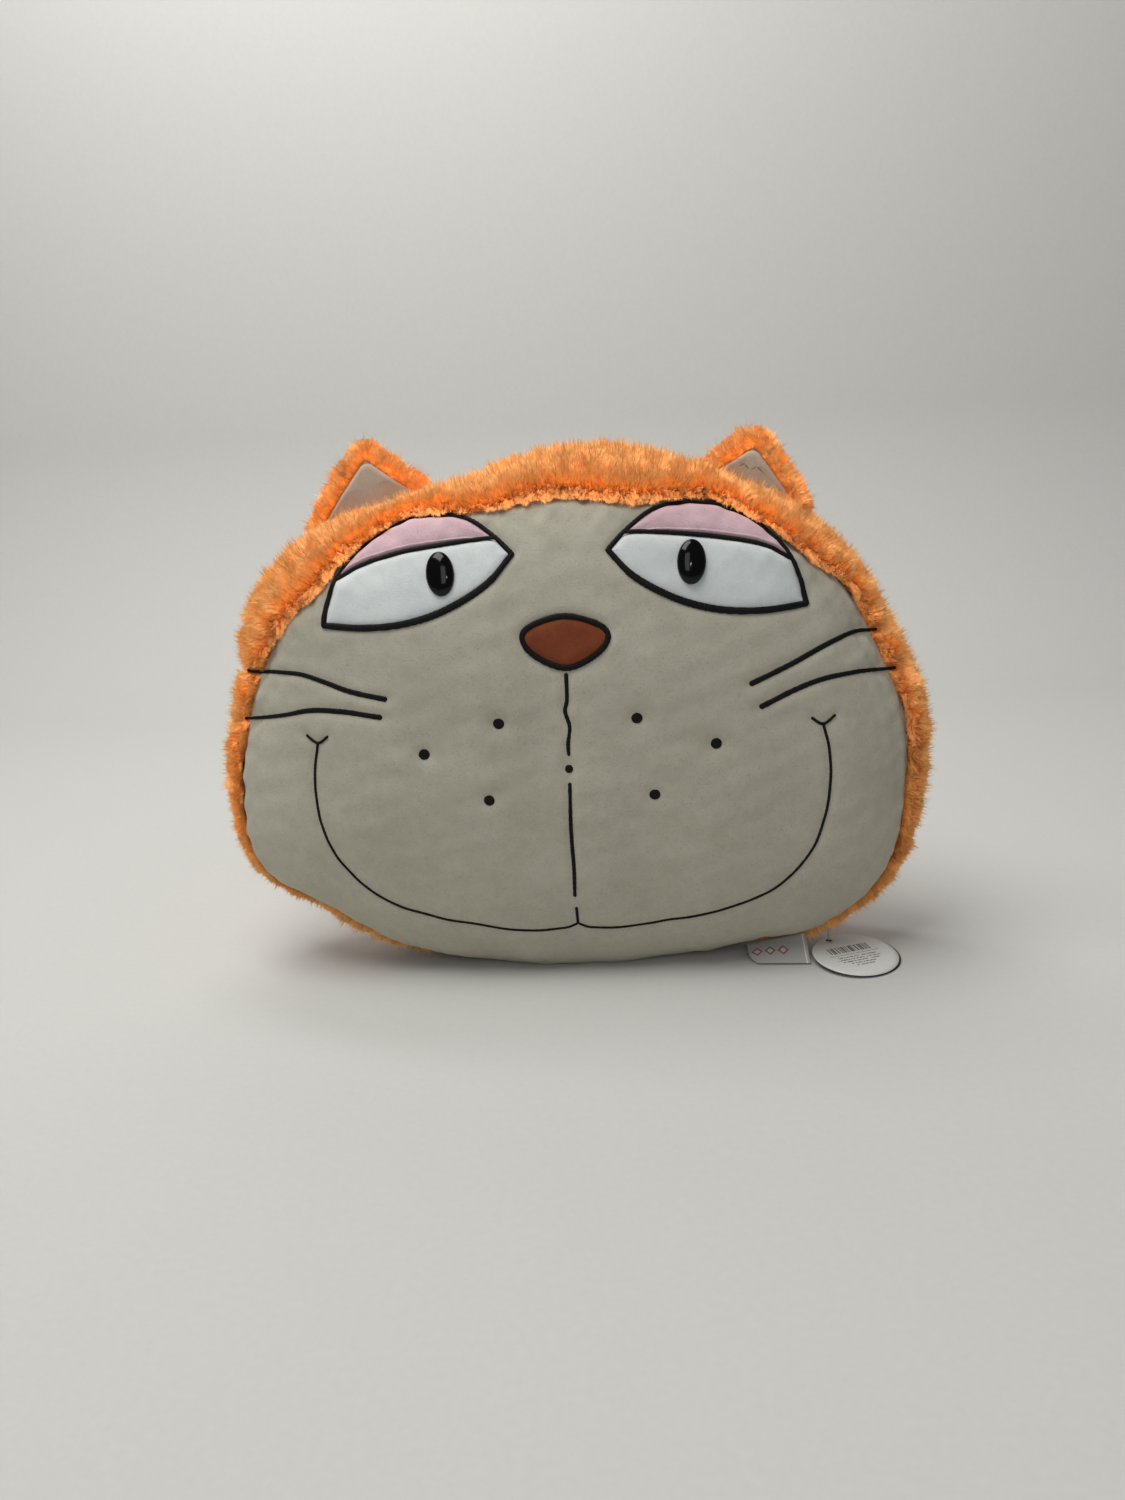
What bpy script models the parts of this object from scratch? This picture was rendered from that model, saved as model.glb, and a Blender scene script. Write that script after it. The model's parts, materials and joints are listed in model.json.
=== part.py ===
"""Plush cat head cushion.

A stuffed cushion in the shape of a grinning cat's head, standing on its lower edge with the face
towards -Y. The body is a superellipsoid: in the XZ plane its outline is a smooth closed curve about
the point (0, 0, CENTRE_Z), and its front and back bulge by HALF_DEPTH. Every panel, applique and line
of embroidery lies on that one surface or at a stated height over it. Metres throughout, +Z up.
"""
import math

import bmesh
import bpy
import numpy as np
from mathutils import Matrix, Vector

# The cushion's body
CENTRE_Z = 0.162
HALF_DEPTH = 0.058
FULLNESS = 2.3
FABRIC = 0.0018
GAP = 0.0005
FILLING_GAP = 0.0024
PILE = 0.006
SEAM_GAP = 0.35
BAND_EDGE = 0.20
COLUMNS = 60
EDGE_ROW = 0.97
EDGE_PILE = 0.5
BAND_PILE = (0.45, 0.9, 1.0, 1.0, 0.8)
BAND_END_LATITUDE = 88.4
BAND_END_STEP = 0.02

# Direction from the centre in degrees (90 is up), outline radius on the right and on the left
OUTLINE = (
    (-90, 0.167, 0.167), (-70, 0.172, 0.172), (-55, 0.188, 0.186), (-45, 0.206, 0.194),
    (-35, 0.217, 0.205), (-25, 0.219, 0.221), (-12, 0.211, 0.213), (0, 0.204, 0.204),
    (12, 0.191, 0.198), (25, 0.182, 0.193), (37, 0.174, 0.179), (50, 0.161, 0.159),
    (62, 0.154, 0.150), (75, 0.150, 0.145), (90, 0.148, 0.148),
)
# Where the face panel ends: direction, then the latitude on the right and on the left in degrees,
# counted from the tip of the nose side (0) over the widest line of the cushion (90)
FACE_SEAM = (
    (-90, 95.0, 95.0), (-48, 94.0, 95.0), (-36, 85.0, 92.0), (-27, 76.0, 86.5), (-18, 70.5, 80.0),
    (-9, 68.5, 73.0), (0, 65.5, 67.5), (8, 66.0, 63.5), (16, 69.5, 59.0), (24, 73.0, 57.5),
    (31, 72.0, 60.0), (38, 70.5, 65.0), (45, 70.5, 70.5), (53, 71.0, 75.0), (60, 67.5, 72.5),
    (70, 61.5, 65.0), (80, 58.0, 59.5), (90, 57.0, 57.0),
)

# Embroidery: height over the surface of a line sewn on the face, and of one sewn over an applique
APPLIQUE_LOW = 0.0004
APPLIQUE_HIGH = 0.0015
THREAD_ON_FACE = 0.0004
THREAD_OVER_APPLIQUE = 0.0019
THREAD_HEIGHT = 0.0012

# Eyes, drawn for the right eye as x, z and line width; the left eye is its mirror image
EYE_UNDER = (
    (0.0265, 0.2603, 0.0032), (0.0410, 0.2450, 0.0040), (0.0637, 0.2322, 0.0042),
    (0.0876, 0.2250, 0.0042), (0.1120, 0.2229, 0.0040), (0.1360, 0.2243, 0.0036),
)
EYE_OVER = (
    (0.1360, 0.2243, 0.0036), (0.1325, 0.2390, 0.0028), (0.1248, 0.2548, 0.0026),
    (0.1125, 0.2680, 0.0026), (0.0975, 0.2776, 0.0026), (0.0785, 0.2830, 0.0026),
    (0.0615, 0.2828, 0.0026), (0.0486, 0.2786, 0.0026), (0.0362, 0.2698, 0.0028),
    (0.0265, 0.2603, 0.0032),
)
LID_LINE = (
    (0.1285, 0.2487, 0.0026), (0.1120, 0.2574, 0.0026), (0.0893, 0.2634, 0.0026),
    (0.0667, 0.2669, 0.0026), (0.0435, 0.2691, 0.0026), (0.0352, 0.2688, 0.0026),
)
LID_LINE_TRIM = 0.045
LID_HEM = 0.0008
PUPILS = {"left": (-0.0668, 0.2507, -6.0), "right": (0.0719, 0.2512, 6.0)}
PUPIL_HALF_WIDTH = 0.0080
PUPIL_HALF_HEIGHT = 0.0125
PUPIL_DOME = 0.0042
PUPIL_RIM = 0.0010
PUPIL_SEAT = 0.0021
STEM_RADIUS = 0.0020
STEM_LENGTH = 0.0160
STEM_HOLE = 0.0026
WASHER_RADIUS = 0.0085
WASHER_BORE = 0.0023
WASHER_TOP = 0.0032
WASHER_THICKNESS = 0.0014
POCKET_RADIUS = 0.0100
POCKET_DEPTH = 0.0180

# Nose, mouth, whiskers and freckles: x, z and line width
NOSE = (
    (0.0009, 0.2261, 0.0033), (0.0190, 0.2211, 0.0033), (0.0247, 0.2139, 0.0034),
    (0.0180, 0.2046, 0.0036), (0.0009, 0.1974, 0.0037), (-0.0162, 0.2046, 0.0036),
    (-0.0229, 0.2146, 0.0034), (-0.0172, 0.2216, 0.0033),
)
UPPER_PHILTRUM = (
    (0.0006, 0.1945, 0.0026), (0.0003, 0.1794, 0.0025), (-0.0011, 0.1726, 0.0025),
    (0.0011, 0.1632, 0.0025), (-0.0004, 0.1534, 0.0025), (-0.0003, 0.1463, 0.0022),
)
LOWER_PHILTRUM = (
    (-0.0006, 0.1308, 0.0022), (-0.0014, 0.1018, 0.0025), (-0.0011, 0.0758, 0.0025),
    (-0.0017, 0.0566, 0.0022),
)
MOUTH_STEM = ((-0.0013, 0.0490, 0.0019), (-0.0011, 0.0382, 0.0019))
MOUTH_X = -0.0011
SMILE = (
    (0.0022, 0.0357, 0.0017), (0.0095, 0.0330, 0.0018), (0.0360, 0.0329, 0.0018),
    (0.0600, 0.0374, 0.0018), (0.0840, 0.0420, 0.0018), (0.1070, 0.0497, 0.0018),
    (0.1255, 0.0625, 0.0018), (0.1395, 0.0798, 0.0018), (0.1475, 0.1006, 0.0018),
    (0.1500, 0.1220, 0.0018), (0.1490, 0.1404, 0.0018), (0.1459, 0.1532, 0.0018),
)
CHEEK_CREASE = ((0.1525, 0.1610, 0.0018), (0.1455, 0.1562, 0.0020), (0.1385, 0.1605, 0.0018))
WHISKERS = {
    "left_upper": (
        (-0.1018, 0.1822, 0.0037), (-0.1234, 0.1868, 0.0036), (-0.1381, 0.1918, 0.0034),
        (-0.1533, 0.1960, 0.0030), (-0.1690, 0.1969, 0.0026),
    ),
    "left_lower": (
        (-0.1057, 0.1718, 0.0037), (-0.1305, 0.1751, 0.0036), (-0.1490, 0.1753, 0.0034),
        (-0.1653, 0.1722, 0.0028), (-0.1830, 0.1690, 0.0024),
    ),
    "right_upper": (
        (0.1024, 0.1822, 0.0037), (0.1252, 0.1915, 0.0036), (0.1485, 0.2013, 0.0034),
        (0.1660, 0.2058, 0.0026),
    ),
    "right_lower": (
        (0.1078, 0.1688, 0.0038), (0.1249, 0.1759, 0.0036), (0.1422, 0.1815, 0.0034),
        (0.1599, 0.1834, 0.0030), (0.1755, 0.1832, 0.0025),
    ),
}
FRECKLES = {"upper": (0.0390, 0.1669), "outer": (0.0831, 0.1498), "lower": (0.0475, 0.1212)}
FRECKLE_RADIUS = 0.0033
LIP_DOT = (-0.0006, 0.1386)
LIP_DOT_RADIUS = 0.0025
DOT_HEIGHT = 0.0013

# Ears: direction of the base's middle, half the base, the tip's lean towards the middle, its height
EARS = {"left": (133.4, 0.0355, 0.0110, 0.0335), "right": (46.0, 0.0355, -0.0120, 0.0300)}
EAR_CLEARANCE = 0.0022
EAR_TIP_RADIUS = 0.0055
EAR_BASE_RADIUS = 0.0030
EAR_PINCH = 0.45
EAR_PINCH_HEIGHT = 0.0110
EAR_RIM = 0.0050
EAR_HEM = 0.0016
EAR_SHELL = (  # side inset, base inset, depth: recess under the lining, round the rim, to the back
    (EAR_RIM, EAR_HEM, -0.0030),
    (EAR_RIM, EAR_HEM, 0.0042),
    (0.0035, 0.0011, 0.0050),
    (0.0010, 0.0005, 0.0036),
    (0.0, 0.0, 0.0012),
    (0.0, 0.0, -0.0024),
    (0.0022, 0.0008, -0.0048),
    (0.0065, 0.0030, -0.0060),
)
EAR_WADDING_DEPTHS = (-0.0024, 0.0018)
EAR_LINING = (  # the same, inside the rim
    (0.0, 0.0, 0.0024),
    (0.0, 0.0, 0.0034),
    (0.0020, 0.0014, 0.0040),
)
EAR_SEAT_SWEEP = 0.35

# Sewn label: x and y of the ends of its sewn edge under the lower right seam, and of its free edge,
# which lies just over the floor
LABEL_SEWN = ((0.1020, -0.0080), (0.1380, -0.0100))
LABEL_FREE = ((0.1020, -0.0268), (0.1390, -0.0290))
LABEL_DROP = 0.0022
LABEL_REST = 0.0009
LABEL_THICKNESS = 0.0008

# Hang tag: two round leaves on a plastic pin below the right corner
TAG_RADIUS = 0.0260
TAG_HOLE_XY = (0.1530, -0.0065)
TAG_HOLE_FROM_CENTRE = 0.0222
TAG_HEADING = -52.0
TAG_TILT = 4.5
TAG_HOLE_RADIUS = 0.0020
TAG_FOLD_FROM_HOLE = TAG_RADIUS - TAG_HOLE_FROM_CENTRE
CARD = 0.0005
LEAF_SPACING = 0.0012
LOWER_LEAF_TURN = 5.0
FLOOR_CLEARANCE = 0.0003
PIN_RADIUS = 0.0005
PIN_PADDLE_RADIUS = 0.0026
PIN_PADDLE_THICKNESS = 0.0008
PIN_PADDLE_DROP = 0.0013

COLOURS = {
    "polyester_filling": (0.86, 0.85, 0.82, 0.95),
    "beige_minky": (0.45, 0.42, 0.34, 0.90),
    "orange_plush": (0.85, 0.26, 0.04, 0.95),
    "white_velour": (0.68, 0.71, 0.69, 0.90),
    "pink_velour": (0.60, 0.44, 0.46, 0.90),
    "brown_velour": (0.22, 0.06, 0.02, 0.85),
    "black_thread": (0.012, 0.012, 0.012, 0.45),
    "black_plastic": (0.004, 0.005, 0.005, 0.08),
    "natural_plastic": (0.75, 0.75, 0.72, 0.50),
    "satin_ribbon": (0.52, 0.50, 0.51, 0.40),
    "white_card": (0.80, 0.82, 0.80, 0.55),
    "dark_card": (0.02, 0.05, 0.04, 0.50),
    "clear_plastic": (0.85, 0.85, 0.85, 0.30),
}


# ---------------------------------------------------------------- curves and the cushion's surface

def mirrored_curve(rows):
    """Periodic Catmull-Rom curve through (direction, right value, left value) rows."""
    angles = [row[0] for row in rows]
    right = [row[1] for row in rows]
    left = [row[2] for row in rows[-2:0:-1]]
    knots = np.radians(angles + [180 - angle for angle in angles[-2:0:-1]])
    values = np.array(right + left)
    knots = np.concatenate([knots[-1:] - 2 * np.pi, knots, knots[:2] + 2 * np.pi])
    values = np.concatenate([values[-1:], values, values[:2]])
    slopes = (values[2:] - values[:-2]) / (knots[2:] - knots[:-2])
    knots = knots[1:-1]
    values = values[1:-1]

    def curve(theta):
        turned = np.mod(np.asarray(theta, float) + np.pi / 2, 2 * np.pi) - np.pi / 2
        index = np.clip(np.searchsorted(knots, turned, side="right") - 1, 0, len(knots) - 2)
        span = knots[index + 1] - knots[index]
        t = (turned - knots[index]) / span
        start = (2 * t**3 - 3 * t**2 + 1) * values[index] + (t**3 - 2 * t**2 + t) * span * slopes[index]
        end = (3 * t**2 - 2 * t**3) * values[index + 1] + (t**3 - t**2) * span * slopes[index + 1]
        return start + end

    return curve


outline_radius = mirrored_curve(OUTLINE)
face_seam_latitude = mirrored_curve(FACE_SEAM)


def outward(radius, theta, y):
    """Unit normals of the surface (r / R(theta))^n + (|y| / T)^n = constant, from its gradient."""
    step = 1e-4
    limit = outline_radius(theta)
    slope = (outline_radius(theta + step) - outline_radius(theta - step)) / (2 * step)
    radial = radius ** (FULLNESS - 1) / limit**FULLNESS
    around = -radial * slope / limit
    along = np.sign(y) * np.abs(y) ** (FULLNESS - 1) / HALF_DEPTH**FULLNESS
    normal = np.stack([radial * np.cos(theta) - around * np.sin(theta),
                       along,
                       radial * np.sin(theta) + around * np.cos(theta)], axis=-1)
    return normal / np.linalg.norm(normal, axis=-1, keepdims=True)


def body_points(theta, latitude, offset, floor):
    """Points at a direction and latitude, offset along the normal and kept above the floor height."""
    theta, latitude, offset = np.broadcast_arrays(theta, np.radians(latitude), offset)
    power = 2 / FULLNESS
    radius = np.sin(latitude) ** power * outline_radius(theta)
    y = -np.sign(np.cos(latitude)) * np.abs(np.cos(latitude)) ** power * HALF_DEPTH
    point = np.stack([radius * np.cos(theta), y, CENTRE_Z + radius * np.sin(theta)], axis=-1)
    point = point + outward(radius, theta, y) * offset[..., None]
    point[..., 2] = np.maximum(point[..., 2], floor)
    return point


def face_points(x, z, offset):
    """Points and normals on the front of the cushion over the given x and z."""
    x = np.asarray(x, float)
    theta = np.arctan2(z - CENTRE_Z, x)
    radius = np.hypot(x, z - CENTRE_Z)
    share = np.clip(radius / outline_radius(theta), 0, 0.9999)
    y = -HALF_DEPTH * (1 - share**FULLNESS) ** (1 / FULLNESS)
    normal = outward(radius, theta, y)
    point = np.stack([x, y, z], axis=-1)
    return point + normal * np.asarray(offset)[..., None], normal


def smooth_path(points, step=0.0045, closed=False):
    """Catmull-Rom curve through control rows, sampled about every step metres."""
    rows = np.array(points, float)
    if closed:
        rows = np.vstack([rows[-1], rows, rows[:2]])
    else:
        rows = np.vstack([2 * rows[0] - rows[1], rows, 2 * rows[-1] - rows[-2]])
    samples = []
    for a, b, c, d in zip(rows[:-3], rows[1:-2], rows[2:-1], rows[3:]):
        count = max(1, round(float(np.hypot(*(c - b)[:2])) / step))
        t = (np.arange(count) / count)[:, None]
        samples.append(0.5 * (2 * b + (c - a) * t + (2 * a - 5 * b + 4 * c - d) * t**2
                              + (3 * b - a - 3 * c + d) * t**3))
    if not closed:
        samples.append(rows[-2:-1])
    return np.vstack(samples)


def evenly(path, count):
    """The same path resampled to a number of points at equal spacing."""
    length = np.concatenate([[0], np.cumsum(np.hypot(*np.diff(path[:, :2], axis=0).T))])
    at = np.linspace(0, length[-1], count)
    return np.stack([np.interp(at, length, column) for column in path.T], axis=-1)


# ---------------------------------------------------------------- objects

def material(name):
    """A Principled material with the colour and roughness from COLOURS."""
    if name in bpy.data.materials:
        return bpy.data.materials[name]
    made = bpy.data.materials.new(name)
    made.use_nodes = True
    red, green, blue, roughness = COLOURS[name]
    shader = made.node_tree.nodes["Principled BSDF"]
    shader.inputs["Base Color"].default_value = (red, green, blue, 1)
    shader.inputs["Roughness"].default_value = roughness
    shader.inputs["Metallic"].default_value = 0.0
    made.diffuse_color = (red, green, blue, 1)
    return made


def solid(name, points, faces, finish, parent=None, matrix=None):
    """One closed mesh object with outward normals, shaded smooth except at creases."""
    mesh = bpy.data.meshes.new(name)
    shape = bmesh.new()
    corners = [shape.verts.new(point) for point in np.asarray(points).reshape(-1, 3).tolist()]
    for face in faces:
        shape.faces.new([corners[index] for index in face])
    bmesh.ops.recalc_face_normals(shape, faces=shape.faces)
    shape.to_mesh(mesh)
    shape.free()
    mesh.materials.append(material(finish))
    mesh.shade_smooth()
    mesh.set_sharp_from_angle(angle=math.radians(50))
    made = bpy.data.objects.new(name, mesh)
    bpy.context.scene.collection.objects.link(made)
    made.parent = parent
    if matrix is not None:
        made.matrix_local = matrix
    return made


def pivot(name, matrix, parent=None):
    """An empty on a joint's axis, which carries the pieces that turn about it."""
    made = bpy.data.objects.new(name, None)
    made.empty_display_size = 0.02
    bpy.context.scene.collection.objects.link(made)
    made.parent = parent
    made.matrix_local = matrix
    return made


def frame_matrix(origin, x_axis, y_axis, z_axis):
    """Placement matrix from an origin and three unit axes."""
    matrix = Matrix.Identity(4)
    for column, axis in enumerate((x_axis, y_axis, z_axis, origin)):
        for row in range(3):
            matrix[row][column] = float(axis[row])
    return matrix


def ring_faces(rings, count, loop=False):
    """Quads between consecutive rings of count points; loop also joins the last ring to the first."""
    pairs = [(ring, ring + 1) for ring in range(rings - 1)]
    if loop:
        pairs.append((rings - 1, 0))
    faces = []
    for low, high in pairs:
        for j in range(count):
            k = (j + 1) % count
            faces.append((low * count + j, low * count + k, high * count + k, high * count + j))
    return faces


def ring(half_x, half_y, height, count=20):
    """Points of an ellipse at a height on the local Z axis."""
    angle = 2 * np.pi * np.arange(count) / count
    return np.stack([half_x * np.cos(angle), half_y * np.sin(angle), np.full(count, height)], axis=-1)


def ringed(name, rings, finish, bored=False, parent=None, matrix=None):
    """A solid through a list of equal rings, capped at both ends or, if bored, closed through itself."""
    count = len(rings[0])
    faces = ring_faces(len(rings), count, loop=bored)
    if not bored:
        last = (len(rings) - 1) * count
        faces.append(tuple(range(count)))
        faces.append(tuple(range(last, last + count)))
    return solid(name, np.vstack(rings), faces, finish, parent, matrix)


def drill(target, name, radius, reach, matrix):
    """Cuts a round hole through target, from reach[0] to reach[1] along the matrix's Z."""
    rings = [ring(radius, radius, height) for height in reach]
    cutter = ringed(f"{name}_cutter", rings, "black_plastic", matrix=matrix)
    cutter.hide_render = True
    cutter.display_type = "WIRE"
    cut = target.modifiers.new(name, "BOOLEAN")
    cut.operation = "DIFFERENCE"
    cut.solver = "EXACT"
    cut.object = cutter


# ---------------------------------------------------------------- filling and outer panels

def bowl_faces(rows, columns, first):
    """Faces of a sheet with its pole at index first and rows rings after it."""
    faces = [(first, first + 1 + j, first + 1 + (j + 1) % columns) for j in range(columns)]
    for row in range(rows - 1):
        base = first + 1 + row * columns
        for j in range(columns):
            k = (j + 1) % columns
            faces.append((base + j, base + k, base + columns + k, base + columns + j))
    return faces


def column_directions():
    """Directions of the panels' columns, the same on every layer so that the layers stay apart."""
    return np.radians(-90 + 360 * (np.arange(COLUMNS) + 0.5) / COLUMNS)


def bowl_panel(name, pole, edge, rows, pile, finish):
    """A curved panel from a pole (0 front, 180 back) to its edge latitude, fabric thick plus pile."""
    theta = column_directions()
    share = np.append(np.arange(1, rows) / rows, (EDGE_ROW, 1.0))[:, None]
    latitude = pole + (edge(theta)[None, :] - pole) * share
    lift = np.where(share == 1.0, EDGE_PILE, 1.0) * pile
    rows = len(share)
    points = []
    for offset, floor in ((lift, 0.0), (-FABRIC + 0 * lift, FABRIC)):
        tip = body_points(np.array([0.0]), pole, offset[:1, 0], floor)
        points.append(tip)
        points.append(body_points(theta[None, :], latitude, offset, floor).reshape(-1, 3))
    sheet = 1 + rows * COLUMNS
    faces = bowl_faces(rows, COLUMNS, 0) + bowl_faces(rows, COLUMNS, sheet)
    rim = sheet - COLUMNS
    for j in range(COLUMNS):
        k = (j + 1) % COLUMNS
        faces.append((rim + j, rim + k, sheet + rim + k, sheet + rim + j))
    return solid(name, np.vstack(points), faces, finish)


def back_edge(theta):
    """Latitude of the back panel's edge: the widest line, or the face seam where that lies behind it."""
    return np.maximum(90 + BAND_EDGE, face_seam_latitude(theta) + SEAM_GAP)


def crown_ends():
    """The two directions where the band between the face and the back has narrowed to a sliver."""
    theta = np.radians(np.arange(-89, 270, 0.5))
    wide = theta[face_seam_latitude(theta) < BAND_END_LATITUDE]
    return wide[0], wide[-1]


def crown_band():
    """Orange side band from the face seam to the widest line, tapering out at both lower corners."""
    start, end = crown_ends()
    theta = column_directions()
    between = (theta > start + BAND_END_STEP) & (theta < end - BAND_END_STEP)
    theta = np.concatenate([[start], theta[between], [end]])
    columns = len(theta)
    share = np.linspace(0, 1, len(BAND_PILE))[:, None]
    low = face_seam_latitude(theta)[None, :] + SEAM_GAP
    latitude = low + (90 - BAND_EDGE - low) * share
    lift = PILE * np.array(BAND_PILE)[:, None]
    outer = body_points(theta[None, :], latitude, lift, 0.0)
    inner = body_points(theta[None, :], latitude, -FABRIC + 0 * lift, FABRIC)
    loop = np.concatenate([outer, inner[::-1]], axis=0)
    count = len(loop)
    points = loop.transpose(1, 0, 2).reshape(-1, 3)
    faces = ring_faces(columns, count)
    faces.append(tuple(range(count)))
    faces.append(tuple(range((columns - 1) * count, columns * count)))
    return solid("crown_band", points, faces, "orange_plush")


def filling():
    """Loose polyester fibre that fills the shell."""
    rows = 13
    depth = -FABRIC - FILLING_GAP
    theta = column_directions()
    latitude = np.linspace(0, 180, rows + 2)[1:-1, None]
    rings = body_points(theta[None, :], latitude, depth, FABRIC + FILLING_GAP).reshape(-1, 3)
    front = body_points(np.array([0.0]), 0.0, depth, 0.0)
    back = body_points(np.array([0.0]), 180.0, depth, 0.0)
    faces = bowl_faces(rows, COLUMNS, 0)
    last = 1 + (rows - 1) * COLUMNS
    tail = 1 + rows * COLUMNS
    faces += [(tail, last + j, last + (j + 1) % COLUMNS) for j in range(COLUMNS)]
    return solid("fibre_filling", np.vstack([front, rings, back]), faces, "polyester_filling")


# ---------------------------------------------------------------- appliques and embroidery

def applique(name, lower, upper, across, finish):
    """A piece of cloth sewn to the face between two curves with the same number of points."""
    share = np.linspace(0, 1, across + 1)[:, None, None]
    plan = lower[None, :, :2] * (1 - share) + upper[None, :, :2] * share
    along = lower.shape[0]
    sheets = [face_points(plan[..., 0], plan[..., 1], np.full(plan.shape[:2], height))[0]
              for height in (APPLIQUE_LOW, APPLIQUE_HIGH)]
    index = np.arange(2 * (across + 1) * along).reshape(2, across + 1, along)
    faces = []
    for sheet in index:
        for i in range(across):
            for j in range(along - 1):
                faces.append((sheet[i, j], sheet[i, j + 1], sheet[i + 1, j + 1], sheet[i + 1, j]))
    rim = np.concatenate([index[:, 0, :], index[:, 1:, -1], index[:, -1, -2::-1],
                          index[:, -2:0:-1, 0]], axis=1)
    count = rim.shape[1]
    for j in range(count):
        k = (j + 1) % count
        faces.append((rim[0, j], rim[0, k], rim[1, k], rim[1, j]))
    return solid(name, np.stack(sheets).reshape(-1, 3), faces, finish)


def stitching(name, path, height, closed=False, mirror=False):
    """A ridge of satin stitch along a path of x, z and width rows, mitred where the path turns."""
    path = path * np.array([-1, 1, 1]) if mirror else path
    point, normal = face_points(path[:, 0], path[:, 1], np.full(len(path), height))
    if closed:
        ahead = np.roll(point, -1, axis=0) - point
    else:
        ahead = np.vstack([np.diff(point, axis=0), point[-1:] - point[-2:-1]])
    ahead /= np.linalg.norm(ahead, axis=1, keepdims=True)
    behind = np.roll(ahead, 1, axis=0)
    if not closed:
        behind[0] = ahead[0]
    side_in = np.cross(normal, behind)
    side_out = np.cross(normal, ahead)
    side = side_in + side_out
    side /= np.linalg.norm(side, axis=1, keepdims=True)
    side /= np.maximum(np.sum(side * side_out, axis=1, keepdims=True), 0.5)
    section = ((-0.5, 0.0), (-0.36, 0.75), (0.0, 1.0), (0.36, 0.75), (0.5, 0.0))
    rings = np.stack([point + side * path[:, 2:] * across + normal * THREAD_HEIGHT * up
                      for across, up in section], axis=1)
    count = len(section)
    faces = ring_faces(len(point), count, loop=closed)
    if not closed:
        faces.append(tuple(range(count)))
        faces.append(tuple(range((len(point) - 1) * count, len(point) * count)))
    return solid(name, rings.reshape(-1, 3), faces, "black_thread")


def surface_matrix(x, z, lean=0.0):
    """Placement on the face at x, z: local Z along the normal, local Y up the face, leant sideways."""
    point, normal = face_points(np.array([x]), np.array([z]), np.array([0.0]))
    outwards = Vector(normal[0])
    up = Vector((math.sin(math.radians(lean)), 0, math.cos(math.radians(lean))))
    up = (up - outwards * up.dot(outwards)).normalized()
    return frame_matrix(point[0], up.cross(outwards), up, outwards)


def eye(side):
    """Eye white, lid, outline and lid line of one side; returns the eye white."""
    mirror = side == "left"
    flip = np.array([-1, 1, 1]) if mirror else np.array([1, 1, 1])
    under = smooth_path(EYE_UNDER)
    over = smooth_path(EYE_OVER)
    lid = smooth_path(LID_LINE)
    stitching(f"eye_outline_stitch_{side}", np.vstack([under[:-1], over[:-1]]), THREAD_OVER_APPLIQUE,
              closed=True, mirror=mirror)
    ends = LID_LINE_TRIM
    stitching(f"lid_line_stitch_{side}", evenly(lid, 201)[round(200 * ends):-round(200 * ends):9],
              THREAD_OVER_APPLIQUE, mirror=mirror)

    count = 25
    hem = np.array([0, LID_HEM, 0])
    lid_top = over[:-1][over[:-1, 1] > LID_LINE[0][1]]
    lid_top = evenly(lid_top, 101)[3:-4]
    lid_bottom = evenly(lid, 101)[3:-4]
    applique(f"eyelid_{side}", evenly(lid_bottom + hem, count) * flip, evenly(lid_top, count) * flip,
             3, "pink_velour")
    white_top = evenly(np.vstack([lid, under[:1]])[::-1], 101)[3:]
    white_bottom = evenly(under, 101)[3:]
    return applique(f"eye_white_{side}", evenly(white_bottom, count) * flip,
                    evenly(white_top - hem, count) * flip, 5, "white_velour")


def safety_eye(side, white, face, fibre):
    """Oval plastic pupil with its stem through the cloth and its washer behind it."""
    x, z, lean = PUPILS[side]
    place = surface_matrix(x, z, lean)
    dome_base = PUPIL_SEAT + PUPIL_RIM
    rings = [ring(PUPIL_HALF_WIDTH * math.cos(a), PUPIL_HALF_HEIGHT * math.cos(a),
                  dome_base + PUPIL_DOME * math.sin(a))
             for a in np.radians((82, 60, 38, 17, 0))]
    rings.append(ring(PUPIL_HALF_WIDTH, PUPIL_HALF_HEIGHT, PUPIL_SEAT))
    rings.append(ring(STEM_RADIUS, STEM_RADIUS, PUPIL_SEAT))
    rings.append(ring(STEM_RADIUS, STEM_RADIUS, PUPIL_SEAT - STEM_LENGTH))
    ringed(f"safety_eye_{side}", rings, "black_plastic", matrix=place)

    sides = (-WASHER_TOP, -WASHER_TOP - WASHER_THICKNESS)
    washer = [ring(radius, radius, height)
              for radius, height in ((WASHER_RADIUS, sides[0]), (WASHER_RADIUS, sides[1]),
                                     (WASHER_BORE, sides[1]), (WASHER_BORE, sides[0]))]
    ringed(f"eye_washer_{side}", washer, "natural_plastic", bored=True, matrix=place)

    drill(white, f"eye_white_hole_{side}", STEM_HOLE, (-0.001, 0.006), place)
    drill(face, f"face_hole_{side}", STEM_HOLE, (-0.006, 0.003), place)
    drill(fibre, f"washer_pocket_{side}", POCKET_RADIUS, (-POCKET_DEPTH, 0.004), place)


def nose():
    """Nose pad between its lower and upper edge, and the stitching round it."""
    loop = smooth_path(NOSE, closed=True)
    stitching("nose_outline_stitch", loop, THREAD_OVER_APPLIQUE, closed=True)
    dense = smooth_path(NOSE, step=0.0005, closed=True)
    left = int(np.argmin(dense[:, 0]))
    dense = np.roll(dense, -left, axis=0)
    right = int(np.argmax(dense[:, 0]))
    count = 19
    upper = evenly(dense[:right + 1], 101)[4:-4]
    lower = evenly(np.vstack([dense[right:], dense[:1]])[::-1], 101)[4:-4]
    applique("nose_pad", evenly(lower, count), evenly(upper, count), 5, "brown_velour")


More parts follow.
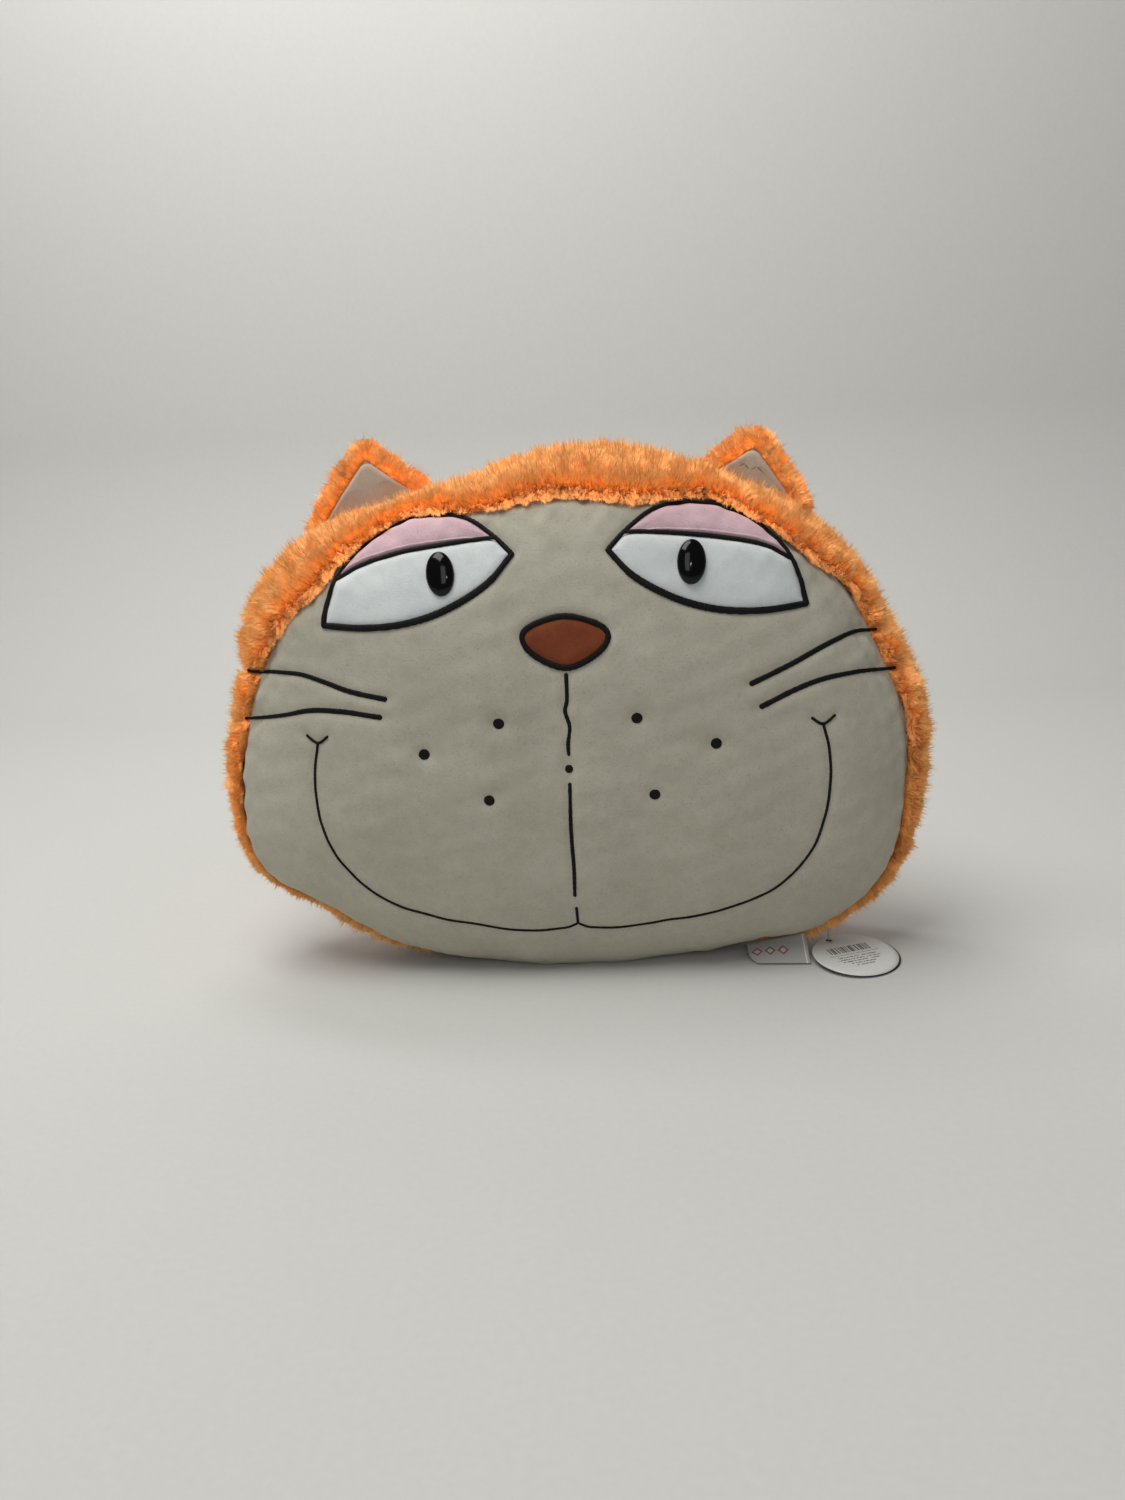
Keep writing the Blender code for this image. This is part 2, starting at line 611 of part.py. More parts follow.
def dot(name, x, z, radius):
    """A round knot of satin stitch."""
    rings = [ring(radius, radius, THREAD_ON_FACE, 12),
             ring(radius * 0.92, radius * 0.92, THREAD_ON_FACE + 0.6 * DOT_HEIGHT, 12),
             ring(radius * 0.5, radius * 0.5, THREAD_ON_FACE + DOT_HEIGHT, 12)]
    ringed(name, rings, "black_thread", matrix=surface_matrix(x, z))


def mouth_and_whiskers():
    """Every line of embroidery below the eyes."""
    stitching("philtrum_upper_stitch", smooth_path(UPPER_PHILTRUM), THREAD_ON_FACE)
    stitching("philtrum_lower_stitch", smooth_path(LOWER_PHILTRUM), THREAD_ON_FACE)
    stitching("mouth_stem_stitch", smooth_path(MOUTH_STEM), THREAD_ON_FACE)
    dot("lip_dot_stitch", *LIP_DOT, LIP_DOT_RADIUS)
    for side, sign in (("left", -1), ("right", 1)):
        turn = np.array([sign, 1, 1])
        shift = np.array([MOUTH_X, 0, 0])
        stitching(f"smile_stitch_{side}", smooth_path(SMILE, step=0.0075) * turn + shift, THREAD_ON_FACE)
        stitching(f"cheek_crease_stitch_{side}", np.array(CHEEK_CREASE) * turn + shift, THREAD_ON_FACE)
        for place, (x, z) in FRECKLES.items():
            dot(f"freckle_{place}_{side}", sign * x, z, FRECKLE_RADIUS)
    for place, points in WHISKERS.items():
        stitching(f"whisker_stitch_{place}", smooth_path(points, step=0.006), THREAD_ON_FACE)


# ---------------------------------------------------------------- ears

def rounded_triangle(corners, radii, steps=6):
    """Points round a triangle whose corners are arcs of the given radii, with steps on each side."""
    points = []
    for index in range(3):
        here = np.array(corners[index])
        back = np.array(corners[index - 1]) - here
        on = np.array(corners[(index + 1) % 3]) - here
        back /= np.linalg.norm(back)
        on /= np.linalg.norm(on)
        half = 0.5 * math.acos(float(back @ on))
        centre = here + (back + on) / np.linalg.norm(back + on) * radii[index] / math.sin(half)
        start = here + back * radii[index] / math.tan(half) - centre
        end = here + on * radii[index] / math.tan(half) - centre
        sweep = math.pi - 2 * half
        for t in np.linspace(0, 1, steps):
            blend = (math.sin((1 - t) * sweep) * start + math.sin(t * sweep) * end) / math.sin(sweep)
            points.append(centre + blend)
    points = np.array(points)
    between = []
    for index in range(3):
        arc = points[index * steps:(index + 1) * steps]
        following = points[((index + 1) * steps) % len(points)]
        between.append(arc)
        between.append(arc[-1] + (following - arc[-1]) * np.array([[0.25], [0.5], [0.75]]))
    return np.vstack(between)


def inset_triangle(corners, side, base):
    """The triangle moved in by side along both slanted edges and by base along its base."""
    moved = []
    distances = (base, side, side)
    for index in range(3):
        lines = []
        for edge in (index - 1, index):
            start = np.array(corners[edge % 3])
            along = np.array(corners[(edge + 1) % 3]) - start
            along /= np.linalg.norm(along)
            inwards = np.array([-along[1], along[0]])
            lines.append((start + inwards * distances[edge % 3], along))
        (p, u), (q, v) = lines
        cross = u[0] * v[1] - u[1] * v[0]
        t = ((q - p)[0] * v[1] - (q - p)[1] * v[0]) / cross
        moved.append(p + u * t)
    return moved


def ear(side):
    """One ear: plush back panel with its rim, wadding, and the lining that faces forward."""
    direction, half_base, lean, height = EARS[side]
    theta = math.radians(direction)
    seat, outwards = seat_point(theta)
    along = outwards.cross(Vector((0, -1, 0))).normalized()
    origin = seat + outwards * EAR_CLEARANCE
    hinge = pivot(f"ear_{side}_hinge", frame_matrix(origin, along, outwards, along.cross(outwards)))

    sweep = theta + np.linspace(-EAR_SEAT_SWEEP, EAR_SEAT_SWEEP, 41)
    ridge = body_points(sweep, 90.0, PILE, 0.0) - np.array(seat)
    seat_u = ridge @ np.array(along)
    seat_v = ridge @ np.array(outwards)
    order = np.argsort(seat_u)
    corners = ((-half_base, 0.0), (half_base, 0.0), (lean, height))

    def contour(side_inset, base_inset, depth):
        """Ear outline moved in and placed at a depth; the base follows the head and is pinched flat."""
        share = max(1 - 0.6 * side_inset / EAR_TIP_RADIUS, 0.4)
        radii = (EAR_BASE_RADIUS * share, EAR_BASE_RADIUS * share, EAR_TIP_RADIUS * share)
        flat = rounded_triangle(inset_triangle(corners, side_inset, base_inset), radii)
        drop = np.interp(flat[:, 0], seat_u[order], seat_v[order])
        pinch = np.clip(EAR_PINCH + (1 - EAR_PINCH) * flat[:, 1] / EAR_PINCH_HEIGHT, 0, 1)
        rise = flat[:, 1] + drop * (1 - flat[:, 1] / height)
        return np.stack([flat[:, 0], rise, depth * pinch], axis=-1)

    shell = [contour(*row) for row in EAR_SHELL]
    ringed(f"ear_{side}_back_panel", shell, "orange_plush", parent=hinge)
    inside = (EAR_RIM + GAP, EAR_HEM + GAP)
    wadding = [contour(*inside, depth) for depth in EAR_WADDING_DEPTHS]
    ringed(f"ear_{side}_wadding", wadding, "polyester_filling", parent=hinge)
    lining = [contour(inside[0] + side_in, inside[1] + base_in, depth) for side_in, base_in, depth in EAR_LINING]
    ringed(f"ear_{side}_lining", lining, "beige_minky", parent=hinge)


def seat_point(theta):
    """Top of the pile at the widest line in one direction, and its outward normal."""
    low = Vector(body_points(np.array([theta]), 90.0, 0.0, 0.0)[0])
    high = Vector(body_points(np.array([theta]), 90.0, PILE, 0.0)[0])
    return high, (high - low).normalized()


# ---------------------------------------------------------------- label and hang tag

def underside_height(x, y):
    """Height of the face panel's underside straight above a point on the floor."""
    share = (1 - (abs(y) / HALF_DEPTH) ** FULLNESS) ** (1 / FULLNESS)
    z = np.linspace(0, CENTRE_Z, 2000)
    theta = np.arctan2(z - CENTRE_Z, x)
    outside = np.hypot(x, z - CENTRE_Z) > share * outline_radius(theta)
    return float(z[outside].max())


def sewn_label():
    """Folded ribbon label that hangs from the seam, hinged along its sewn edge."""
    sewn = np.array([(x, y, underside_height(x, y) - LABEL_DROP) for x, y in LABEL_SEWN])
    free = np.array([(x, y, LABEL_REST) for x, y in LABEL_FREE])
    along = Vector(sewn[1] - sewn[0]).normalized()
    reach = Vector(free[0] - sewn[0])
    reach = (reach - along * reach.dot(along)).normalized()
    place = frame_matrix(sewn[0], along, reach, along.cross(reach))
    hinge = pivot("label_hinge", place)
    back = np.array(place.inverted())
    columns = 6
    rows = 5
    s = np.linspace(0, 1, columns)[None, :, None]
    t = np.linspace(0, 1, rows)[:, None, None]
    sheet = (sewn[0] * (1 - s) + sewn[1] * s) * (1 - t) + (free[0] * (1 - s) + free[1] * s) * t
    sheet = sheet @ back[:3, :3].T + back[:3, 3]
    half = np.array([0, 0, LABEL_THICKNESS / 2])
    points = np.stack([sheet + half, sheet - half])
    index = np.arange(2 * rows * columns).reshape(2, rows, columns)
    faces = []
    for layer in index:
        for i in range(rows - 1):
            for j in range(columns - 1):
                faces.append((layer[i, j], layer[i, j + 1], layer[i + 1, j + 1], layer[i + 1, j]))
    rim = np.concatenate([index[:, 0, :], index[:, 1:, -1], index[:, -1, -2::-1],
                          index[:, -2:0:-1, 0]], axis=1)
    for j in range(rim.shape[1]):
        k = (j + 1) % rim.shape[1]
        faces.append((rim[0, j], rim[0, k], rim[1, k], rim[1, j]))
    solid("sewn_label", points.reshape(-1, 3), faces, "satin_ribbon", parent=hinge)


def hang_tag():
    """Two card leaves that lift about the pin's hole and open about their inner edge, and the pin."""
    heading = math.radians(TAG_HEADING)
    far = Vector((math.cos(heading), math.sin(heading), 0))
    axis = Vector((0, 0, 1)).cross(far) * -1
    tilt = math.radians(TAG_TILT)
    reach = far * math.cos(tilt) - Vector((0, 0, 1)) * math.sin(tilt)
    normal = (axis.cross(reach)).normalized()
    longest = TAG_HOLE_FROM_CENTRE + TAG_RADIUS
    hole_height = FLOOR_CLEARANCE + CARD / 2 + longest * math.sin(tilt)
    origin = Vector((*TAG_HOLE_XY, hole_height))
    lift = pivot("hang_tag_lift_axis", frame_matrix(origin, axis, reach, normal))
    inner_edge = Matrix.Translation((0, -TAG_FOLD_FROM_HOLE, LEAF_SPACING))
    opening = pivot("hang_tag_open_axis", inner_edge, parent=lift)
    count = 28

    def leaf(name, finish, parent, turn, hole):
        """A card disc with its hole at this distance along the pivot's y."""
        angle = 2 * np.pi * np.arange(count) / count
        circle = np.stack([np.cos(angle), np.sin(angle), 0 * angle], axis=-1)
        eyelet = np.array([0, hole, 0])
        centre = eyelet + np.array([math.sin(turn), math.cos(turn), 0]) * TAG_HOLE_FROM_CENTRE
        half = np.array([0, 0, CARD / 2])
        rings = [circle * TAG_RADIUS + centre - half, circle * TAG_RADIUS + centre + half,
                 circle * TAG_HOLE_RADIUS + eyelet + half, circle * TAG_HOLE_RADIUS + eyelet - half]
        ringed(name, rings, finish, bored=True, parent=parent)

    leaf("hang_tag_lower_leaf", "dark_card", lift, math.radians(-LOWER_LEAF_TURN), 0.0)
    leaf("hang_tag_upper_leaf", "white_card", opening, 0.0, TAG_FOLD_FROM_HOLE)

    paddle_top = hole_height - CARD / 2 - PIN_PADDLE_DROP
    seam_height = underside_height(*TAG_HOLE_XY) - 2 * GAP
    heights = (paddle_top - PIN_PADDLE_THICKNESS, paddle_top, paddle_top, seam_height)
    radii = (PIN_PADDLE_RADIUS, PIN_PADDLE_RADIUS, PIN_RADIUS, PIN_RADIUS)
    rings = [ring(radius, radius, height, 10) for radius, height in zip(radii, heights)]
    ringed("tag_pin", rings, "clear_plastic", matrix=Matrix.Translation((*TAG_HOLE_XY, 0)))


# ---------------------------------------------------------------- assembly

for old in list(bpy.data.objects):
    bpy.data.objects.remove(old)

fibre = filling()
face = bowl_panel("face_panel", 0.0, face_seam_latitude, 8, 0.0, "beige_minky")
bowl_panel("back_panel", 180.0, back_edge, 7, PILE, "orange_plush")
crown_band()
for name in ("left", "right"):
    ear(name)
    safety_eye(name, eye(name), face, fibre)
nose()
mouth_and_whiskers()
sewn_label()
hang_tag()
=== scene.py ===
"""A plush cat-head cushion: the finish of every sewn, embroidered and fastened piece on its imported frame."""
import json
import math
import bpy
import numpy as np
from mathutils import Matrix


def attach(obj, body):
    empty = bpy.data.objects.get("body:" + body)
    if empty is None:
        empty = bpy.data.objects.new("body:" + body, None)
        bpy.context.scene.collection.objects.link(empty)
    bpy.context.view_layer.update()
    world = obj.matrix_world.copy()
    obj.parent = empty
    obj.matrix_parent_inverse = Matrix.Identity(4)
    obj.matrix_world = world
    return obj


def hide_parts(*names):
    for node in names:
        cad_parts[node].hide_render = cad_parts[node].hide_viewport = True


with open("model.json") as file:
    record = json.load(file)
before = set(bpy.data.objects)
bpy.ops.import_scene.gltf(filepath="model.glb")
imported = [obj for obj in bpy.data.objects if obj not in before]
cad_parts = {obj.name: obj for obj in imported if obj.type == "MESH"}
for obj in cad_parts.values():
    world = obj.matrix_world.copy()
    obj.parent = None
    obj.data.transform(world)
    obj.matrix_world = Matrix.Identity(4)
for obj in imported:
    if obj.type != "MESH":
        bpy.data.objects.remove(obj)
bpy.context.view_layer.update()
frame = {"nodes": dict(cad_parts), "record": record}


# ---- Polyester fibre ------------------------------------------------------------------------
# Loose siliconised polyester staple is blown into the shell through a gap in the back seam, and
# flat waddings of it go into the ears. It stays behind the cloth, so its solids keep their shape.

FIBRE_LIGHT = "#F3F2EE"
FIBRE_SHADE = "#D2D1CB"
FIBRE_CLUMP = 0.006
FIBRE_STRAND = 0.0004


def linear(code):
    """Linear RGBA of a hex sRGB colour: c / 12.92 in the toe, ((c + 0.055) / 1.055) ** 2.4 above it."""
    parts = [int(code[i:i + 2], 16) / 255 for i in (1, 3, 5)]
    return (*[c / 12.92 if c <= 0.04045 else ((c + 0.055) / 1.055) ** 2.4 for c in parts], 1.0)


def add(tree, kind, settings, *links):
    """Add a node, set its properties and sockets, and link (source, to socket) pairs into it.

    A source is a socket, or a node that stands for its first output.
    """
    node = tree.nodes.new("ShaderNode" + kind)
    for key, value in settings.items():
        if isinstance(key, str) and hasattr(node, key):
            setattr(node, key, value)
        else:
            node.inputs[key].default_value = value
    for source, target in links:
        tree.links.new(getattr(source, "outputs", [source])[0], node.inputs[target])
    return node


def finish(name, **sockets):
    """A new material: its node tree, its shader with the even settings, and its Object coordinates."""
    material = bpy.data.materials.new(name)
    material.use_nodes = True
    tree = material.node_tree
    shader = tree.nodes["Principled BSDF"]
    for key, value in sockets.items():
        shader.inputs[key.replace("_", " ")].default_value = value
    place = add(tree, "TexCoord", {}).outputs["Object"]
    return material, tree, shader, place


def fibre():
    """White polyester staple: a soft matt tangle, with a shade colour mixed in by a clump-sized noise as
    painted shade between clumps.
    """
    material, tree, shader, place = finish("polyester staple fibre", Roughness=0.9, Sheen_Weight=0.3)
    clump = add(tree, "TexNoise", {"Scale": 1 / FIBRE_CLUMP, "Detail": 3.0}, (place, "Vector"))
    strand = add(tree, "TexNoise", {"Scale": 1 / FIBRE_STRAND}, (place, "Vector"))
    # Painted shade: a clump-sized noise mixes the shade colour in between clumps
    colour = add(tree, "Mix", {"data_type": "RGBA", 6: linear(FIBRE_SHADE), 7: linear(FIBRE_LIGHT)},
                 (clump, 0))
    bump = add(tree, "Bump", {"Strength": 0.6, "Distance": 0.0004}, (strand, "Height"))
    tree.links.new(colour.outputs[2], shader.inputs["Base Color"])
    tree.links.new(bump.outputs[0], shader.inputs["Normal"])
    return material


def refinish(names, material):
    """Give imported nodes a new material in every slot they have."""
    for name in names:
        for slot in frame["nodes"][name].material_slots:
            slot.material = material


refinish(["fibre_filling", "ear_left_wadding", "ear_right_wadding"], fibre())


# ---- Shape of the stuffed head --------------------------------------------------------------
# Face, crown band and back are cut from cloth and sewn into one shell. Full of fibre it stands
# as a rounded pillow, widest low down, whose sections are superellipses.

CENTRE_HEIGHT = 0.162
HALF_DEPTH = 0.058
FULLNESS = 2.3
FLOOR_GAP = 0.0004

# Direction from the centre (90 is up), distance to the cloth's outline on the right and the left
OUTLINE = (
    (-90, 0.167, 0.167), (-70, 0.172, 0.172), (-55, 0.188, 0.186), (-45, 0.206, 0.194),
    (-35, 0.217, 0.205), (-25, 0.219, 0.221), (-12, 0.211, 0.213), (0, 0.204, 0.204),
    (12, 0.191, 0.198), (25, 0.182, 0.193), (37, 0.174, 0.179), (50, 0.161, 0.159),
    (62, 0.154, 0.150), (75, 0.150, 0.145), (90, 0.148, 0.148),
)
# Direction, latitude of the seam round the face on the right and the left (0 front, 90 widest)
FACE_SEAM = (
    (-90, 95.0, 95.0), (-65, 94.0, 92.0), (-48, 87.0, 86.5), (-36, 84.0, 87.0), (-27, 79.0, 85.0),
    (-18, 75.5, 82.5), (-9, 73.0, 77.0), (0, 71.0, 73.0), (8, 71.0, 69.0), (16, 72.5, 64.0),
    (24, 71.5, 59.5), (31, 66.5, 57.5), (38, 65.5, 61.5), (45, 68.0, 67.0), (53, 70.5, 72.0),
    (60, 66.0, 68.0), (70, 58.0, 61.0), (80, 57.0, 59.0), (90, 58.0, 58.0),
)


def round_the_head(rows):
    """Periodic cubic through (direction, right, left) rows, its slopes taken across each neighbour pair."""
    angles = [row[0] for row in rows]
    knots = np.radians(angles + [180 - angle for angle in angles[-2:0:-1]])
    values = np.array([row[1] for row in rows] + [row[2] for row in rows[-2:0:-1]])
    knots = np.concatenate([knots[-1:] - 2 * np.pi, knots, knots[:2] + 2 * np.pi])
    values = np.concatenate([values[-1:], values, values[:2]])
    slopes = (values[2:] - values[:-2]) / (knots[2:] - knots[:-2])
    knots = knots[1:-1]
    values = values[1:-1]

    def curve(theta):
        turned = np.mod(np.asarray(theta, float) + np.pi / 2, 2 * np.pi) - np.pi / 2
        i = np.clip(np.searchsorted(knots, turned, side="right") - 1, 0, len(knots) - 2)
        span = knots[i + 1] - knots[i]
        t = (turned - knots[i]) / span
        start = (2 * t**3 - 3 * t**2 + 1) * values[i] + (t**3 - 2 * t**2 + t) * span * slopes[i]
        return start + (3 * t**2 - 2 * t**3) * values[i + 1] + (t**3 - t**2) * span * slopes[i + 1]

    return curve


outline_radius = round_the_head(OUTLINE)
seam_latitude = round_the_head(FACE_SEAM)


def outward(radius, theta, y):
    """Unit gradient of (r / R(theta)) ** n + (|y| / T) ** n, which points out of the shell."""
    step = 1e-4
    limit = outline_radius(theta)
    slope = (outline_radius(theta + step) - outline_radius(theta - step)) / (2 * step)
    radial = radius ** (FULLNESS - 1) / limit**FULLNESS
    around = -radial * slope / limit
    along = np.sign(y) * np.abs(y) ** (FULLNESS - 1) / HALF_DEPTH**FULLNESS
    normal = np.stack([radial * np.cos(theta) - around * np.sin(theta), along,
                       radial * np.sin(theta) + around * np.cos(theta)], axis=-1)
    return normal / np.linalg.norm(normal, axis=-1, keepdims=True)


def on_shell(theta, degrees):
    """Points and normals at r = sin(lat) ** (2 / n) * R and y = -cos(lat) ** (2 / n) * T."""
    theta, latitude = np.broadcast_arrays(theta, np.radians(degrees))
    power = 2 / FULLNESS
    radius = np.sin(latitude) ** power * outline_radius(theta)
    y = -np.sign(np.cos(latitude)) * np.abs(np.cos(latitude)) ** power * HALF_DEPTH
    point = np.stack([radius * np.cos(theta), y, CENTRE_HEIGHT + radius * np.sin(theta)], axis=-1)
    return point, outward(radius, theta, y)


def on_front(x, z):
    """Points and normals of the front half straight over the given x and z."""
    theta = np.arctan2(z - CENTRE_HEIGHT, x)
    radius = np.hypot(x, z - CENTRE_HEIGHT)
    share = np.clip(radius / outline_radius(theta), 0, 0.9999)
    y = -HALF_DEPTH * (1 - share**FULLNESS) ** (1 / FULLNESS)
    return np.stack([x, y, z], axis=-1), outward(radius, theta, y)


def swell(points, wavelength, seed, waves=9):
    """A smooth field from about -1 to 1: the mean of plane waves of nearly one length in all directions."""
    rng = np.random.default_rng(seed)
    heading = rng.normal(size=(waves, 3))
    heading *= rng.uniform(0.7, 1.5, (waves, 1)) / np.linalg.norm(heading, axis=1, keepdims=True)
    phase = rng.uniform(0, 2 * np.pi, waves)
    return np.sin(points @ heading.T * 2 * np.pi / wavelength + phase).sum(-1) / math.sqrt(2 * waves)


def distance_to(points, line):
    """Distance from every point to the nearest sample of a line, a block of points at a time."""
    flat = points.reshape(-1, 3)
    size = (line**2).sum(1)
    near = []
    for block in np.array_split(flat, len(flat) // 5000 + 1):
        square = (block**2).sum(1)[:, None] + size - 2 * block @ line.T
        near.append(np.sqrt(np.maximum(square.min(1), 0)))
    return np.concatenate(near).reshape(points.shape[:-1])


# ---- Embroidery plan ------------------------------------------------------------------------
# The face is embroidered while it lies flat. Each line is a satin stitch through cloth and
# backing, so the stuffed face is drawn in along it. Rows are x, z and line width.

EYE_UNDER = (
    (0.0265, 0.2603, 0.0032), (0.0410, 0.2450, 0.0040), (0.0637, 0.2322, 0.0042),
    (0.0876, 0.2250, 0.0042), (0.1120, 0.2229, 0.0040), (0.1360, 0.2243, 0.0036),
)
EYE_OVER = (
    (0.1360, 0.2243, 0.0036), (0.1325, 0.2390, 0.0028), (0.1248, 0.2548, 0.0026),
    (0.1125, 0.2680, 0.0026), (0.0975, 0.2776, 0.0026), (0.0785, 0.2830, 0.0026),
    (0.0615, 0.2828, 0.0026), (0.0486, 0.2786, 0.0026), (0.0362, 0.2698, 0.0028),
    (0.0265, 0.2603, 0.0032),
)
LID_LINE = (
    (0.1285, 0.2487, 0.0026), (0.1120, 0.2574, 0.0026), (0.0893, 0.2634, 0.0026),
    (0.0667, 0.2669, 0.0026), (0.0435, 0.2691, 0.0026), (0.0352, 0.2688, 0.0026),
)
NOSE = (
    (0.0009, 0.2261, 0.0033), (0.0190, 0.2211, 0.0033), (0.0247, 0.2139, 0.0034),
    (0.0180, 0.2046, 0.0036), (0.0009, 0.1974, 0.0037), (-0.0162, 0.2046, 0.0036),
    (-0.0229, 0.2146, 0.0034), (-0.0172, 0.2216, 0.0033),
)
PHILTRUM = {
    "upper": ((0.0006, 0.1945, 0.0026), (0.0003, 0.1794, 0.0025), (-0.0011, 0.1726, 0.0025),
              (0.0011, 0.1632, 0.0025), (-0.0004, 0.1534, 0.0025), (-0.0003, 0.1463, 0.0022)),
    "lower": ((-0.0006, 0.1308, 0.0022), (-0.0014, 0.1018, 0.0025), (-0.0011, 0.0758, 0.0025),
              (-0.0017, 0.0566, 0.0022)),
}
MOUTH_STEM = ((-0.0013, 0.0490, 0.0019), (-0.0011, 0.0358, 0.0019))
MOUTH_MIDDLE = -0.0011
SMILE = (
    (0.0002, 0.0364, 0.0017), (0.0095, 0.0330, 0.0018), (0.0360, 0.0329, 0.0018),
    (0.0600, 0.0374, 0.0018), (0.0840, 0.0420, 0.0018), (0.1070, 0.0497, 0.0018),
    (0.1255, 0.0625, 0.0018), (0.1395, 0.0798, 0.0018), (0.1475, 0.1006, 0.0018),
    (0.1500, 0.1220, 0.0018), (0.1490, 0.1404, 0.0018), (0.1455, 0.1564, 0.0018),
)
CHEEK_CREASE = ((0.1525, 0.1610, 0.0018), (0.1455, 0.1562, 0.0020), (0.1385, 0.1605, 0.0018))
# The last rows of each whisker run past the seam and lie in the nick that they pull in the plush
WHISKERS = {
    "left_upper": (
        (-0.1018, 0.1822, 0.0037), (-0.1234, 0.1868, 0.0036), (-0.1381, 0.1918, 0.0034),
        (-0.1533, 0.1960, 0.0030), (-0.1690, 0.1969, 0.0026), (-0.1830, 0.1958, 0.0022),
        (-0.1960, 0.1944, 0.0017),
    ),
    "left_lower": (
        (-0.1057, 0.1718, 0.0037), (-0.1305, 0.1751, 0.0036), (-0.1490, 0.1753, 0.0034),
        (-0.1653, 0.1722, 0.0028), (-0.1830, 0.1690, 0.0024), (-0.1920, 0.1674, 0.0020),
        (-0.1985, 0.1660, 0.0017),
    ),
    "right_upper": (
        (0.1024, 0.1822, 0.0037), (0.1252, 0.1915, 0.0036), (0.1485, 0.2013, 0.0034),
        (0.1660, 0.2058, 0.0026), (0.1810, 0.2046, 0.0018),
    ),
    "right_lower": (
        (0.1078, 0.1688, 0.0038), (0.1249, 0.1759, 0.0036), (0.1422, 0.1815, 0.0034),
        (0.1599, 0.1834, 0.0030), (0.1755, 0.1832, 0.0025), (0.1920, 0.1816, 0.0018),
    ),
}
FRECKLES = {"upper": (0.0390, 0.1669), "outer": (0.0831, 0.1498), "lower": (0.0475, 0.1212)}
FRECKLE_RADIUS = 0.0033
LIP_DOT = (-0.0006, 0.1386)
LIP_DOT_RADIUS = 0.0025

LINE_PULL = 0.0012
LINE_REACH = 0.0034
DOT_PULL = 0.0022
DOT_REACH = 0.0052
NICK_PULL = 0.0045
NICK_REACH = 0.0032
NICK_LENGTH = 0.014
GATHER_PULL = 0.0026
GATHER_REACH = 0.0150
SEAM_PULL = 0.0030
PLUSH_SEAM_SHARE = 0.5
SEAM_REACH = 0.0042
DEEPEST = -0.0036
TAIL_LIFT = 0.0006


def through(rows, step, closed=False):
    """Catmull-Rom curve through rows, about one sample every step metres of x and z."""
    rows = np.array(rows, float)
    if closed:
        rows = np.vstack([rows[-1:], rows, rows[:2]])
    else:
        rows = np.vstack([2 * rows[:1] - rows[1:2], rows, 2 * rows[-1:] - rows[-2:-1]])
    parts = []
    for a, b, c, d in zip(rows[:-3], rows[1:-2], rows[2:-1], rows[3:]):
        count = max(1, round(float(np.hypot(*(c - b)[:2])) / step))
        t = (np.arange(count) / count)[:, None]
        parts.append(0.5 * (2 * b + (c - a) * t + (2 * a - 5 * b + 4 * c - d) * t**2
                            + (3 * b - a - 3 * c + d) * t**3))
    return np.vstack(parts if closed else parts + [rows[-2:-1]])


def evenly(path, count):
    """The same path at a number of equally spaced points."""
    length = np.concatenate([[0], np.cumsum(np.hypot(*np.diff(path[:, :2], axis=0).T))])
    at = np.linspace(0, length[-1], count)
    return np.stack([np.interp(at, length, column) for column in path.T], axis=-1)


MIRROR = np.array([-1.0, 1.0, 1.0])
SIDES = {"left": MIRROR, "right": np.ones(3)}
eye_loop = np.vstack([through(EYE_UNDER, 0.0010)[:-1], through(EYE_OVER, 0.0010)[:-1]])
mouth_shift = np.array([MOUTH_MIDDLE, 0, 0])

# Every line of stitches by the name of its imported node: its rows, and whether it closes on itself
lines = {"nose_outline_stitch": (through(NOSE, 0.0010, closed=True), True)}
for side, flip in SIDES.items():
    lines[f"eye_outline_stitch_{side}"] = (eye_loop * flip, True)
    lines[f"lid_line_stitch_{side}"] = (through(LID_LINE, 0.0010)[1:-1] * flip, False)
    lines[f"smile_stitch_{side}"] = (through(SMILE, 0.0010) * flip + mouth_shift, False)
    lines[f"cheek_crease_stitch_{side}"] = (through(CHEEK_CREASE, 0.0005) * flip + mouth_shift, False)
for part, rows in PHILTRUM.items():
    lines[f"philtrum_{part}_stitch"] = (through(rows, 0.0010), False)
lines["mouth_stem_stitch"] = (through(MOUTH_STEM, 0.0010), False)
for part, rows in WHISKERS.items():
    lines[f"whisker_stitch_{part}"] = (through(rows, 0.0010), False)

dots = {"lip_dot_stitch": (*LIP_DOT, LIP_DOT_RADIUS)}
for side, flip in SIDES.items():
    for part, (x, z) in FRECKLES.items():
        dots[f"freckle_{part}_{side}"] = (x * flip[0], z, FRECKLE_RADIUS)

sewn = np.vstack([rows[::2] for rows, closed in lines.values()])
sewn_points = on_front(sewn[:, 0], sewn[:, 1])[0]
dot_points = on_front(*np.array([[x, z] for x, z, radius in dots.values()]).T)[0]
tails = [through(rows, 0.0010)[-round(NICK_LENGTH / 0.0010):] for rows in WHISKERS.values()]
nicks = np.vstack([evenly(tail, 16) for tail in tails])
nick_points = on_front(nicks[:, 0], nicks[:, 1])[0]
seam_angle = np.radians(np.arange(0, 360, 0.5))
seam_points = on_shell(seam_angle, seam_latitude(seam_angle))[0]


